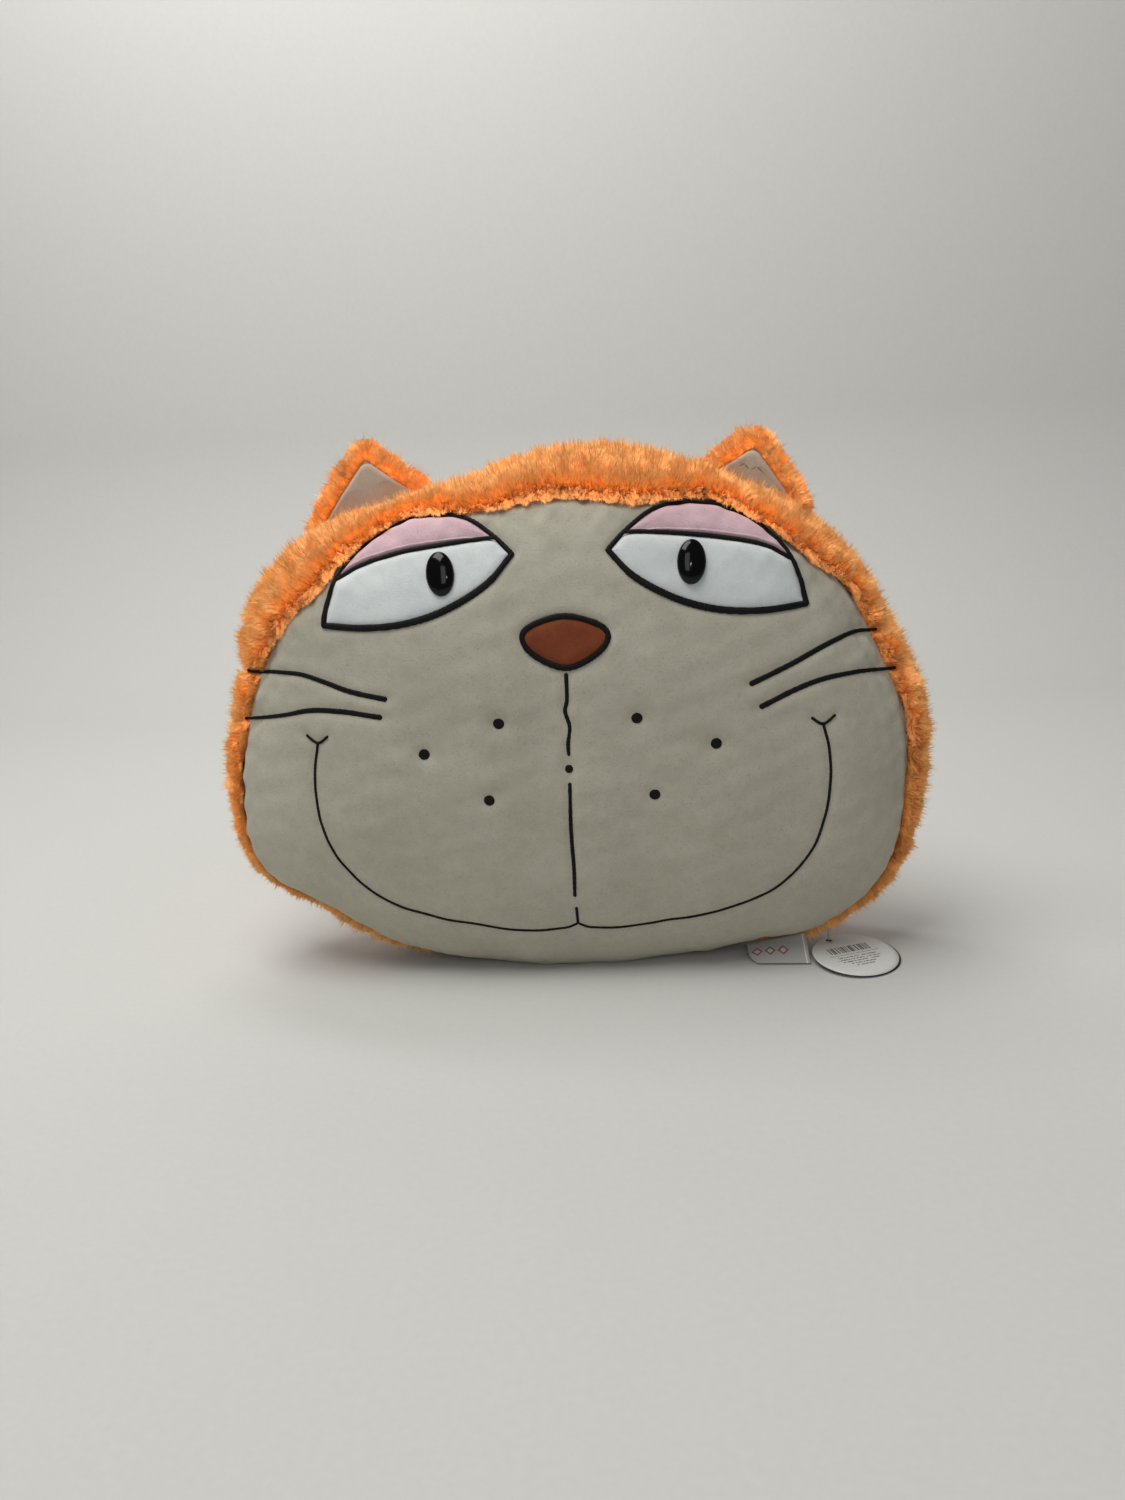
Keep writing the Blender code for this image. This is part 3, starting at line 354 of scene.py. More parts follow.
def drawn_in(points, embroidered):
    """How far the cloth is pulled in: a bell of each thread line, dot, nick and seam by distance.

    Each nick also gathers the cloth around it, and the plush at the seam is pulled in half as far.
    """
    nick = distance_to(points, nick_points)
    seam = SEAM_PULL * (1.0 if embroidered else PLUSH_SEAM_SHARE)
    pull = NICK_PULL * np.exp(-(nick / NICK_REACH) ** 2) + GATHER_PULL * np.exp(-(nick / GATHER_REACH) ** 2)
    pull += seam * np.exp(-(distance_to(points, seam_points) / SEAM_REACH) ** 2)
    if embroidered:
        pull += LINE_PULL * np.exp(-(distance_to(points, sewn_points) / LINE_REACH) ** 2)
        pull += DOT_PULL * np.exp(-(distance_to(points, dot_points) / DOT_REACH) ** 2)
    return pull


def on_face(x, z, lift):
    """Points and normals of the stuffed cloth over x and z, lifted along the normal.

    Past the seam the cloth is the ground of the plush: the two heights cross over in two degrees.
    """
    point, normal = on_front(np.asarray(x, float), np.asarray(z, float))
    theta = np.arctan2(point[..., 2] - CENTRE_HEIGHT, point[..., 0])
    share = np.hypot(point[..., 0], point[..., 2] - CENTRE_HEIGHT) / outline_radius(theta)
    past = np.degrees(np.arcsin(np.clip(share, 0, 1) ** (FULLNESS / 2))) - seam_latitude(theta)
    plushy = np.clip(past / 2, 0, 1)
    height = face_relief(point) * (1 - plushy)
    if plushy.any():
        height += (ground_height(point) + TAIL_LIFT) * plushy
    return point + normal * (height + lift)[..., None], normal


# ---- Face panel -----------------------------------------------------------------------------
# Beige minky: a knitted polyester with a clipped pile of about 1.5 mm, soft and slightly shiny
# along the nap. It is eased into the seam, so small puckers stand all round its edge.

MINKY_LIGHT = "#BEBAAA"
MINKY_SHADE = "#B4B09F"
# The root colour is painted shade between the pile tips
MINKY_ROOT_PAINTED_SHADE = "#979383"
MINKY_PATCH = 0.040
MINKY_STROKE = 0.007
MINKY_NAP = 0.0011
FACE_COLUMNS = 600
FACE_ROWS = 150
PUCKER_HEIGHT = 0.0010
PUCKER_LENGTH = 0.011
PUCKER_REACH = 0.013
LOFT = 0.0011
LOFT_LENGTH = 0.070
DIMPLE = 0.00035
DIMPLE_LENGTH = 0.022


def face_relief(points):
    """Height of the stuffed face over the plain shell: loft, puckers by the seam, less what is drawn in."""
    edge = np.exp(-distance_to(points, seam_points) / PUCKER_REACH)
    relief = LOFT * swell(points, LOFT_LENGTH, 3) + DIMPLE * swell(points, DIMPLE_LENGTH, 4)
    relief += PUCKER_HEIGHT * edge * swell(points, PUCKER_LENGTH, 5)
    return np.maximum(relief - drawn_in(points, True), DEEPEST)


def short_pile(name, light, shade, root, nap=MINKY_NAP, sheen=0.35):
    """Clipped velour pile: patches where the nap lies either way, strokes, and the grain of its tips, with the
    root colour as painted shade between the tips.

    The grain is drawn at about twice the real spacing of the pile, because finer would not show.
    """
    material, tree, shader, place = finish(name, Roughness=0.95, Specular_IOR_Level=0.15, Sheen_Weight=sheen,
                                           Sheen_Roughness=0.45, Sheen_Tint=linear(light))
    patch = add(tree, "TexNoise", {"Scale": 1 / MINKY_PATCH, "Detail": 2.0}, (place, "Vector"))
    stroke = add(tree, "TexNoise", {"Scale": 1 / MINKY_STROKE, "Detail": 4.0, "Distortion": 0.6},
                 (place, "Vector"))
    grain = add(tree, "TexNoise", {"Scale": 1 / nap, "Detail": 2.0, "Roughness": 0.6},
                (place, "Vector"))
    lie = add(tree, "Math", {"operation": "ADD"}, (patch, 0), (stroke, 1))
    share = add(tree, "MapRange", {"From Min": 0.75, "From Max": 1.25}, (lie, "Value"))
    cloth = add(tree, "Mix", {"data_type": "RGBA", 6: linear(shade), 7: linear(light)},
                (share, 0))
    # Painted shade: where the grain is low, the darker root colour is mixed in as shade between the pile tips
    depth = add(tree, "MapRange", {"From Min": 0.45, "From Max": 0.25, "To Max": 0.55},
                (grain, "Value"))
    colour = add(tree, "Mix", {"data_type": "RGBA", 7: linear(root)}, (depth, 0),
                 (cloth.outputs[2], 6))
    nap_bump = add(tree, "Bump", {"Strength": 0.45, "Distance": 0.0005}, (grain, "Height"))
    bump = add(tree, "Bump", {"Strength": 0.15, "Distance": 0.0008}, (stroke, "Height"),
               (nap_bump, "Normal"))
    tree.links.new(colour.outputs[2], shader.inputs["Base Color"])
    tree.links.new(bump.outputs[0], shader.inputs["Normal"])
    return material


def quads(rows, columns, wrap=False):
    """Faces of a grid of points; down the rows, then along the columns, gives the outward side."""
    row = np.arange(rows - 1)[:, None] * columns
    column = np.arange(columns if wrap else columns - 1)[None, :]
    ahead = (column + 1) % columns
    below = row + columns
    return np.stack([row + column, below + column, below + ahead, row + ahead], -1).reshape(-1, 4)


def piece(name, points, faces, material, body, nodes=(), marks=None):
    """One mesh piece from whole arrays, with its finish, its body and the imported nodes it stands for."""
    mesh = bpy.data.meshes.new(name)
    points = np.asarray(points, float).reshape(-1, 3)
    corners = np.concatenate([np.ravel(block) for block in faces])
    sizes = np.concatenate([np.full(len(block), np.shape(block)[1]) for block in faces])
    mesh.vertices.add(len(points))
    mesh.vertices.foreach_set("co", points.ravel())
    mesh.loops.add(len(corners))
    mesh.loops.foreach_set("vertex_index", corners.astype(np.int32))
    mesh.polygons.add(len(sizes))
    mesh.polygons.foreach_set("loop_start", (np.cumsum(sizes) - sizes).astype(np.int32))
    mesh.update(calc_edges=True)
    mesh.validate()
    mesh.shade_smooth()
    for mark, values in (marks or {}).items():
        layer = mesh.attributes.new(mark, "FLOAT", "POINT")
        layer.data.foreach_set("value", np.ravel(values).astype(np.float32))
    mesh.materials.append(material)
    made = bpy.data.objects.new(name, mesh)
    bpy.context.scene.collection.objects.link(made)
    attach(made, body)
    if nodes:
        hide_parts(*nodes)
    return made


def off_the_floor(points):
    """The same points, none lower than just over the surface that the cushion stands on."""
    return np.concatenate([points[..., :2], np.maximum(points[..., 2:], FLOOR_GAP)], axis=-1)


theta = 2 * np.pi * np.arange(FACE_COLUMNS)[None, :] / FACE_COLUMNS
share = np.sin(0.5 * np.pi * np.linspace(0, 1, FACE_ROWS + 1)[1:, None]) ** 0.9
shell, normal = on_shell(theta, share * seam_latitude(theta))
middle = on_face(0.0, CENTRE_HEIGHT, 0.0)[0]
skin = shell + normal * face_relief(shell)[..., None]
column = np.arange(FACE_COLUMNS)
fan = np.stack([0 * column, 1 + column, 1 + (column + 1) % FACE_COLUMNS], axis=-1)
face = piece("face_minky", np.vstack([middle[None], off_the_floor(skin).reshape(-1, 3)]),
             [fan, 1 + quads(FACE_ROWS, FACE_COLUMNS, wrap=True)],
             short_pile("beige polyester minky", MINKY_LIGHT, MINKY_SHADE, MINKY_ROOT_PAINTED_SHADE),
             "cushion", ["face_panel"])


# ---- Crown band and back panel --------------------------------------------------------------
# Orange long-pile plush, a knitted backing with about 8 mm of crimped polyester fur. The crown
# band joins the face seam to the back; the pile is brushed away from the face and down the back.

# The tip colour is painted light and the root colour painted shade in the pile
PLUSH_TIP_PAINTED_LIGHT = "#FFCE86"
PLUSH_BODY = "#FFAC54"
PLUSH_ROOT_PAINTED_SHADE = "#EE8636"
# The ground colour is painted shade: a little darker than the pile, as shade deep in it
PLUSH_GROUND_PAINTED_SHADE = "#F59A48"
GROUND_LIFT = 0.0010
GROUND_RISE = 0.0050
PILE_LENGTH = 0.0076
PILE_WIDTH = 0.00062
CLUMP_LENGTH = 0.013
LOCK_SIZE = 0.0027
LOCK_HOLD = 0.5
STRAY_SHARE = 0.05
BAND_COUNT = 260000
BACK_COUNT = 150000
PER_PIECE = 62500
BAND_OVERLAP = 0.5
BAND_ROWS, BAND_COLUMNS = 34, 420
BACK_ROWS, BACK_COLUMNS = 120, 480
GROUND_STREAK = 0.0016
SEAM_STEP = 0.35
SEAM_COVER = 0.6
NICK_BARE = 0.0014
NICK_PARTING = 0.0045
# How far the pile by the seam leans back over the face, and over what distance it turns round
OVERHANG = 1.25
OVERHANG_REACH = 0.0050
# A hollow in the crown beside the left ear: its direction, half width and depth
CROWN_HOLLOW = (math.radians(112), math.radians(13), 0.0050)
CORNER_DIRECTION, CORNER_WIDTH = math.radians(50), math.radians(14)
CORNER_EXTRA = 0.35


def plush(name, tip, body, root):
    """Crimped fur: darker at the root as painted shade, full colour along the pile, pale at the tips as
    painted light, and shiny.
    """
    material, tree, shader, place = finish(name, Roughness=0.7, Specular_IOR_Level=0.25, Sheen_Weight=0.6,
                                           Sheen_Roughness=0.5, Sheen_Tint=linear(tip))
    along = add(tree, "Attribute", {"attribute_name": "along_pile"})
    lock = add(tree, "Attribute", {"attribute_name": "lock"})
    # Painted shade towards the root and painted light towards the tip, by the along_pile mark
    lower = add(tree, "MapRange", {"From Max": 0.5}, (along.outputs["Fac"], "Value"))
    upper = add(tree, "MapRange", {"From Min": 0.4}, (along.outputs["Fac"], "Value"))
    stem = add(tree, "Mix", {"data_type": "RGBA", 6: linear(root), 7: linear(body)},
               (lower, 0))
    whole = add(tree, "Mix", {"data_type": "RGBA", 7: linear(tip)}, (upper, 0),
                (stem.outputs[2], 6))
    colour = add(tree, "HueSaturation", {}, (lock.outputs["Fac"], "Value"), (whole.outputs[2], "Color"))
    tree.links.new(colour.outputs[0], shader.inputs["Base Color"])
    return material


def ground_cloth(name, colour, root):
    """The mass of pile under the tips: matt, streaked from its colour to the root colour as painted shade deep
    in the pile.
    """
    material, tree, shader, place = finish(name, Roughness=0.9, Specular_IOR_Level=0.1, Sheen_Weight=0.2)
    streak = add(tree, "TexNoise", {"Scale": 1 / GROUND_STREAK, "Detail": 3.0}, (place, "Vector"))
    # Painted shade: the streaks mix in the root colour, as shade deep in the pile
    mixed = add(tree, "Mix", {"data_type": "RGBA", 6: linear(root), 7: linear(colour)},
                (streak, 0))
    bump = add(tree, "Bump", {"Strength": 0.8, "Distance": 0.0012}, (streak, "Height"))
    tree.links.new(mixed.outputs[2], shader.inputs["Base Color"])
    tree.links.new(bump.outputs[0], shader.inputs["Normal"])
    return material


def sow(surface, count, rng):
    """Roots spread evenly over a grid: cells drawn by their area, then a place inside each.

    Gives the roots, the outward directions (down the rows crossed with along the columns) and the
    direction down the rows.
    """
    corner = surface[:-1, :-1]
    down = surface[1:, :-1] - corner
    out = np.cross(down, surface[:-1, 1:] - corner)
    area = np.linalg.norm(out, axis=-1)
    i, j = np.unravel_index(rng.choice(area.size, count, p=(area / area.sum()).ravel()), area.shape)
    s, t = rng.random((2, count, 1))
    upper = surface[i, j] * (1 - t) + surface[i, j + 1] * t
    lower = surface[i + 1, j] * (1 - t) + surface[i + 1, j + 1] * t
    flow = down[i, j] / np.linalg.norm(down[i, j], axis=-1, keepdims=True)
    return upper * (1 - s) + lower * s, out[i, j] / area[i, j][:, None], flow


def unit(vectors):
    """The vectors at length one."""
    return vectors / np.maximum(np.linalg.norm(vectors, axis=-1, keepdims=True), 1e-12)


def mean_by(cell, values, count):
    """Mean of the values that share a cell, given back to each of them."""
    return np.stack([np.bincount(cell, column)[cell] for column in values.T], axis=-1) / count[cell][:, None]


def fur(name, root, out, flow, length, lean, width, material, body, rng):
    """Pile, each fibre bundle a tapered blade of three faces that leaves the cloth and bends towards flow.

    The lower half leans from out towards flow by half the angle lean, the upper half by all of it,
    and its flat side faces out. A swell turns and lifts neighbours together, and the tips that
    share a cell of a warped grid are drawn towards their mean, which gathers them into locks.
    """
    turn = 0.8 * swell(root, CLUMP_LENGTH, 11)[:, None] + rng.normal(0, 0.30, (len(root), 1))
    across = unit(np.cross(out, flow))
    flow = unit(flow - out * (flow * out).sum(-1, keepdims=True))
    flow = unit(flow * np.cos(turn) + across * np.sin(turn))
    across = np.cross(out, flow) * (width * rng.uniform(0.6, 1.3, (len(root), 1)) / 2)
    lean = lean[:, None] * (1 + 0.35 * swell(root, CLUMP_LENGTH, 12)[:, None])
    lean = lean + rng.normal(0, 0.25, (len(root), 1))
    stray = rng.random(len(root)) < STRAY_SHARE
    length = length * rng.uniform(0.6, 1.15, len(root)) * (1 + 0.15 * swell(root, CLUMP_LENGTH, 13))
    length = (length * np.where(stray, 1.3, 1.0))[:, None]
    lean = lean * np.where(stray, 0.5, 1.0)[:, None]
    middle = root + 0.5 * length * (out * np.cos(0.5 * lean) + flow * np.sin(0.5 * lean))
    tip = middle + 0.5 * length * (out * np.cos(lean) + flow * np.sin(lean))
    warp = np.stack([swell(root, 0.006, seed) for seed in (15, 16, 17)], axis=-1)
    grid = np.floor(root / LOCK_SIZE + 0.7 * warp).astype(int)
    cell, count = np.unique(grid, axis=0, return_inverse=True, return_counts=True)[1:]
    cell = cell.ravel()
    tip += LOCK_HOLD * np.where(stray, 0.0, 1.0)[:, None] * (mean_by(cell, tip, count) - tip)
    middle += 0.3 * LOCK_HOLD * (mean_by(cell, middle, count) - middle)
    points = off_the_floor(np.stack([root + across, root - across, middle - 0.8 * across,
                                     middle + 0.8 * across, tip], axis=1))
    base = 5 * np.arange(len(root))[:, None]
    lock = 1.0 + rng.normal(0, 0.09, len(count))[cell] + rng.normal(0, 0.09, len(root))
    lock += 0.07 * swell(root, CLUMP_LENGTH, 14)
    marks = {"along_pile": np.tile([0, 0, 0.55, 0.55, 1.0], len(root)), "lock": np.repeat(lock, 5)}
    return piece(name, points, [base + [[0, 1, 2, 3]], base + [[3, 2, 4]]], material, body,
                 marks=marks)


plush_pile = plush("orange polyester plush pile", PLUSH_TIP_PAINTED_LIGHT, PLUSH_BODY, PLUSH_ROOT_PAINTED_SHADE)
plush_ground = ground_cloth("orange plush ground", PLUSH_GROUND_PAINTED_SHADE, PLUSH_ROOT_PAINTED_SHADE)


def ground_height(points):
    """Lift of the ground of the pile: it rises from the seam over a few millimetres and is nicked,
    and a bell of direction sinks the crown beside the left ear."""
    edge = distance_to(points, seam_points)
    height = GROUND_LIFT * (1 - np.exp(-(edge / GROUND_RISE) ** 2))
    turn = np.arctan2(points[..., 2] - CENTRE_HEIGHT, points[..., 0]) - CROWN_HOLLOW[0]
    height -= CROWN_HOLLOW[2] * np.exp(-(turn / CROWN_HOLLOW[1]) ** 2) * np.clip(edge / 0.02, 0, 1)
    height += LOFT * swell(points, LOFT_LENGTH, 3) + 2 * DIMPLE * swell(points, DIMPLE_LENGTH, 6)
    return np.maximum(height - drawn_in(points, False), DEEPEST)


angle = np.radians(np.arange(-89, 270, 0.25))
open_band = angle[seam_latitude(angle) < 90 - SEAM_STEP]
theta = np.linspace(open_band[0], open_band[-1], BAND_COLUMNS)[None, :]
low = seam_latitude(theta) - SEAM_COVER
share = np.linspace(0, 1, BAND_ROWS)[:, None]
shell, normal = on_shell(theta, low + (90 + BAND_OVERLAP - low) * share)
band_ground = off_the_floor(shell + normal * ground_height(shell)[..., None])
band = piece("crown_plush_ground", band_ground, [quads(BAND_ROWS, BAND_COLUMNS)], plush_ground,
             "cushion", ["crown_band"])

theta = 2 * np.pi * np.arange(BACK_COLUMNS + 1)[None, :] / BACK_COLUMNS
low = np.maximum(90.0, seam_latitude(theta) + SEAM_STEP)
share = np.linspace(0, 1, BACK_ROWS + 1)[:-1, None]
shell, normal = on_shell(theta, low + (180 - low) * share)
back_ground = off_the_floor(shell + normal * ground_height(shell)[..., None])
pole = back_ground[-1, :-1].mean(0)
column = np.arange(BACK_COLUMNS)
last = BACK_COLUMNS * (BACK_ROWS - 1)
ahead = (column + 1) % BACK_COLUMNS
cap = np.stack([last + column, 0 * column + last + BACK_COLUMNS, last + ahead], axis=-1)
back = piece("back_plush_ground", np.vstack([back_ground[:, :-1].reshape(-1, 3), pole]),
             [quads(BACK_ROWS, BACK_COLUMNS, wrap=True), cap], plush_ground, "cushion",
             ["back_panel"])


nick_floor = nick_points + on_front(nicks[:, 0], nicks[:, 1])[1] * ground_height(nick_points)[:, None]


def furred(name, surface, count, seed, comb):
    """Pile over a grid of ground cloth, in pieces small enough to export whole.

    Beside the seam it leans over the face and farther off it lies away from it; it is parted and
    shorter along each nick, and longer at the lower corners.
    """
    rng = np.random.default_rng(seed)
    root, out, flow = sow(surface, count, rng)
    corner = np.exp(-((np.arctan2(root[:, 2] - CENTRE_HEIGHT, np.abs(root[:, 0])) + CORNER_DIRECTION)
                      / CORNER_WIDTH) ** 2)
    clear = distance_to(root, seam_points)
    nick = distance_to(root, nick_floor)
    away = np.stack([root - point for point in nick_floor[::2]])
    away = away[np.argmin(np.linalg.norm(away, axis=-1), axis=0), np.arange(count)]
    root -= out * 0.0008
    over = (1 - corner) * np.exp(-(clear / OVERHANG_REACH) ** 2)
    parting = np.exp(-(nick / NICK_PARTING) ** 2)
    lean = 0.95 * np.clip(clear / 0.012, 0, 1) - OVERHANG * over
    flow = comb(root, out, flow) * lean[:, None] + 1.2 * parting[:, None] * unit(away)
    lean = np.linalg.norm(flow, axis=-1)
    flow = unit(flow)
    length = PILE_LENGTH * (0.8 + 0.2 * np.clip(clear / 0.010, 0, 1)) * (1 - 0.5 * parting)
    length *= 1 + CORNER_EXTRA * corner
    kept = np.flatnonzero(nick > NICK_BARE)
    for number, part in enumerate(np.array_split(kept, -(-len(kept) // PER_PIECE))):
        pile = fur(f"{name}_pile_{number + 1}", root[part], out[part], flow[part], length[part], lean[part],
                   PILE_WIDTH, plush_pile, "cushion", rng)
        # Fibres this fine let light through, so only the first piece of pile throws shadows
        pile.visible_shadow = number == 0


def off_the_face(root, out, flow):
    """The band's pile is brushed straight away from the face, and a little upwards."""
    return unit(flow + np.array([0, 0, 0.35]))


def down_the_back(root, out, flow):
    """The back's pile hangs down in the middle and follows the band's near the widest line."""
    inner = np.clip(root[:, 1:2] / HALF_DEPTH * 1.6 - 0.25, 0, 1)
    return unit(flow * (1 - inner) + np.array([0, 0, -1.0]) * inner + out * 0.01)


furred("crown", band_ground, BAND_COUNT, 21, off_the_face)
furred("back", back_ground, BACK_COUNT, 22, down_the_back)


# ---- Eyes -----------------------------------------------------------------------------------
# Each eye is two pieces of short velour, a white one and a pink lid, laid on the face and
# covered at their edges by the satin-stitched outline and lid line.

# The root colours are painted shade between the pile tips
WHITE_LIGHT, WHITE_SHADE, WHITE_ROOT_PAINTED_SHADE = "#DDE2E1", "#D3D8D7", "#BAC0BF"
LID_LIGHT, LID_SHADE, LID_ROOT_PAINTED_SHADE = "#DCBEC4", "#D1B0B7", "#B28F97"
VELOUR_NAP = 0.0008
VELOUR_EDGE = 0.0016
VELOUR_TOP = 0.0013
LID_WELT = 0.0005
LID_WELT_AT = 0.0022


def laid_on(name, lower, upper, material, node, count=(150, 60), welt=False):
    """Cloth between two edges of the face: rows run from one edge to the other, and the height rises
    from the face to the cloth's own in the first and last millimetres; a welt stands near the lower edge."""
    rows, columns = count
    share = np.linspace(0, 1, rows)[:, None, None]
    low, high = evenly(lower, columns)[None, :, :2], evenly(upper, columns)[None, :, :2]
    plan = high * (1 - share) + low * share
    span = np.linalg.norm(high - low, axis=-1)
    from_low, from_high = span * (1 - share[..., 0]), span * share[..., 0]
    from_end = np.minimum(np.arange(columns), np.arange(columns)[::-1]) * np.linalg.norm(
        high[0, -1] - high[0, 0]) / columns
    inside = np.minimum(np.minimum(from_low, from_high), from_end[None, :])
    height = VELOUR_TOP * (1 - np.exp(-(inside / VELOUR_EDGE) ** 2)) - 0.0002
    if welt:
        height += LID_WELT * np.exp(-((from_low - LID_WELT_AT) / 0.0006) ** 2)
    points, normal = on_face(plan[..., 0], plan[..., 1], height)
    order = quads(rows, columns)
    a, b, c = points.reshape(-1, 3)[order[0, :3]]
    outside = float(np.cross(b - a, c - b) @ normal[0, 0]) > 0
    cloth = piece(name, points, [order if outside else order[:, ::-1]], material, "cushion", [node])


white_velour = short_pile("white polyester velour", WHITE_LIGHT, WHITE_SHADE, WHITE_ROOT_PAINTED_SHADE, VELOUR_NAP, 0.2)
pink_velour = short_pile("pink polyester velour", LID_LIGHT, LID_SHADE, LID_ROOT_PAINTED_SHADE, VELOUR_NAP, 0.3)
under = through(EYE_UNDER, 0.0010)
over = through(EYE_OVER, 0.0010)
lid = through(LID_LINE, 0.0010)
lid_top = over[over[:, 1] > LID_LINE[0][1]]
corner = under[:1]
for side, flip in SIDES.items():
    laid_on(f"eye_white_velour_{side}", under * flip, np.vstack([lid, corner])[::-1] * flip,
            white_velour, f"eye_white_{side}")
    laid_on(f"eyelid_velour_{side}", lid * flip, lid_top * flip, pink_velour,
            f"eyelid_{side}", welt=True)


# ---- Embroidery thread ----------------------------------------------------------------------
# Black trilobal polyester thread in satin stitch: each pass lies across the line, close to the
# next, and its round lies catch the light. Dots are the same stitch worked round a centre.

THREAD_BLACK = "#0C0B0B"
# The glint colour is painted glint
THREAD_PAINTED_GLINT = "#1D1B1A"
THREAD_PITCH = 0.0010
THREAD_RISE = 0.0012
THREAD_SINK = 0.0002
OVER_VELOUR = 0.0009
SECTION_ACROSS = np.array([-0.5, -0.43, -0.25, 0.0, 0.25, 0.43, 0.5])
SECTION_UP = np.array([0.0, 0.55, 0.88, 1.0, 0.88, 0.55, 0.0])
SLANT = 0.0006
DOT_ROWS, DOT_COLUMNS = 10, 40


def satin_thread():
    """Trilobal polyester: nearly black, with flecks of a lighter colour painted in as glint."""
    material, tree, shader, place = finish("black embroidery thread", Roughness=0.6, Specular_IOR_Level=0.18)
    fleck = add(tree, "TexNoise", {"Scale": 1 / 0.0007, "Detail": 2.0}, (place, "Vector"))
    # Painted glint: a fine noise mixes in the lighter glint colour
    share = add(tree, "MapRange", {"From Min": 0.45, "From Max": 0.75}, (fleck, "Value"))
    colour = add(tree, "Mix", {"data_type": "RGBA", 6: linear(THREAD_BLACK), 7: linear(THREAD_PAINTED_GLINT)},
                 (share, 0))
    bump = add(tree, "Bump", {"Strength": 0.4, "Distance": 0.0002}, (fleck, "Height"))
    tree.links.new(colour.outputs[2], shader.inputs["Base Color"])
    tree.links.new(bump.outputs[0], shader.inputs["Normal"])
    return material


def satin_line(name, rows, closed, lift):
    """A ridge of satin stitch: a half-round section carried along the line, whose height follows
    |cos(pi * length / pitch)| so that every thread stands up; open ends are drawn in to round them."""
    rows = np.vstack([rows, rows[:1]]) if closed else rows
    length = float(np.hypot(*np.diff(rows[:, :2], axis=0).T).sum())
    threads = max(4, round(length / THREAD_PITCH))
    path = evenly(rows, 4 * threads + 1)
    path = path[:-1] if closed else path
    middle, normal = on_face(path[:, 0], path[:, 1], np.full(len(path), lift - THREAD_SINK))
    ahead = np.roll(middle, -1, axis=0) - np.roll(middle, 1, axis=0)
    at = np.arange(len(path)) / 4.0
    if not closed:
        ahead[0], ahead[-1] = middle[1] - middle[0], middle[-1] - middle[-2]
    side = unit(np.cross(normal, ahead))
    ends = np.ones(len(path))
    if not closed:
        reach = path[:, 2] / 2
        travel = np.arange(len(path)) * length / (len(path) - 1)
        ends = np.sqrt(np.clip(1 - (1 - np.minimum(travel, travel[::-1]) / reach).clip(0) ** 2, 0.05, 1))
    lies = at[:, None] + SLANT / THREAD_PITCH * SECTION_ACROSS
    thread = np.abs(np.cos(np.pi * lies)) ** 0.6
    wobble = 1 + 0.06 * np.sin(2.4 * np.floor(at) ** 1.3)
    across = (path[:, 2] * ends * wobble)[:, None] * SECTION_ACROSS * (0.94 + 0.06 * thread)
    across = side[:, None] * across[..., None]
    up = normal[:, None] * (THREAD_RISE * ends[:, None] * SECTION_UP * (0.72 + 0.28 * thread))[..., None]
    rings = middle[:, None] + across + up
    count = len(SECTION_ACROSS)
    if closed:
        faces = [quads(len(path) + 1, count, wrap=True) % (len(path) * count)]
    else:
        faces = [quads(len(path), count, wrap=True), np.arange(count)[None, :],
                 (np.arange(count)[::-1] + (len(path) - 1) * count)[None, :]]
    piece(name, rings, faces, thread_black, "cushion", [name])


def satin_dot(name, x, z, radius):
    """A stitched dot: height falls as a dome, ribbed by parallel threads across it."""
    ring = np.linspace(0, 1, DOT_ROWS)[1:, None]
    spoke = 2 * np.pi * np.arange(DOT_COLUMNS)[None, :] / DOT_COLUMNS
    u = radius * ring * np.cos(spoke)
    v = radius * ring * np.sin(spoke)
    rib = 0.85 + 0.15 * np.abs(np.cos(np.pi * u / THREAD_PITCH))
    dome = THREAD_RISE * 1.15 * np.sqrt(np.clip(1 - ring**2.4, 0, 1)) * rib
    points, normal = on_face(x + u, z + v, dome - THREAD_SINK)
    top = on_face(x, z, THREAD_RISE)[0]
    column = np.arange(DOT_COLUMNS)
    fan = np.stack([0 * column, 1 + column, 1 + (column + 1) % DOT_COLUMNS], axis=-1)
    piece(name, np.vstack([top[None], points.reshape(-1, 3)]),
          [fan, 1 + quads(DOT_ROWS - 1, DOT_COLUMNS, wrap=True)], thread_black, "cushion",
          [name])


thread_black = satin_thread()
for name, (rows, closed) in lines.items():
    over_cloth = name.startswith(("eye_outline", "lid_line", "nose_outline"))
    satin_line(name, rows, closed, OVER_VELOUR if over_cloth else 0.0)
for name, (x, z, radius) in dots.items():
    satin_dot(name, x, z, radius)


# ---- Safety eyes ----------------------------------------------------------------------------
# Each pupil is an oval dome of polished black acrylic with a stem moulded on. The stem goes
# through the velour and the face, and a pressed washer behind the cloth locks it.

PUPILS = {"left": (-0.0668, 0.2507, -6.0), "right": (0.0719, 0.2512, 6.0)}
PUPIL_HALF = (0.0080, 0.0125)
PUPIL_DOME = 0.0036
PUPIL_RIM = 0.0010
PUPIL_COLUMNS = 96
PUPIL_SEAT = 0.0013
STEM_RADIUS = 0.0020
STEM_LENGTH = 0.0150
PLASTIC_BLACK = "#050506"
WASHER_SHADE, WASHER_LIGHT = "#D5D4CC", "#ECEBE4"


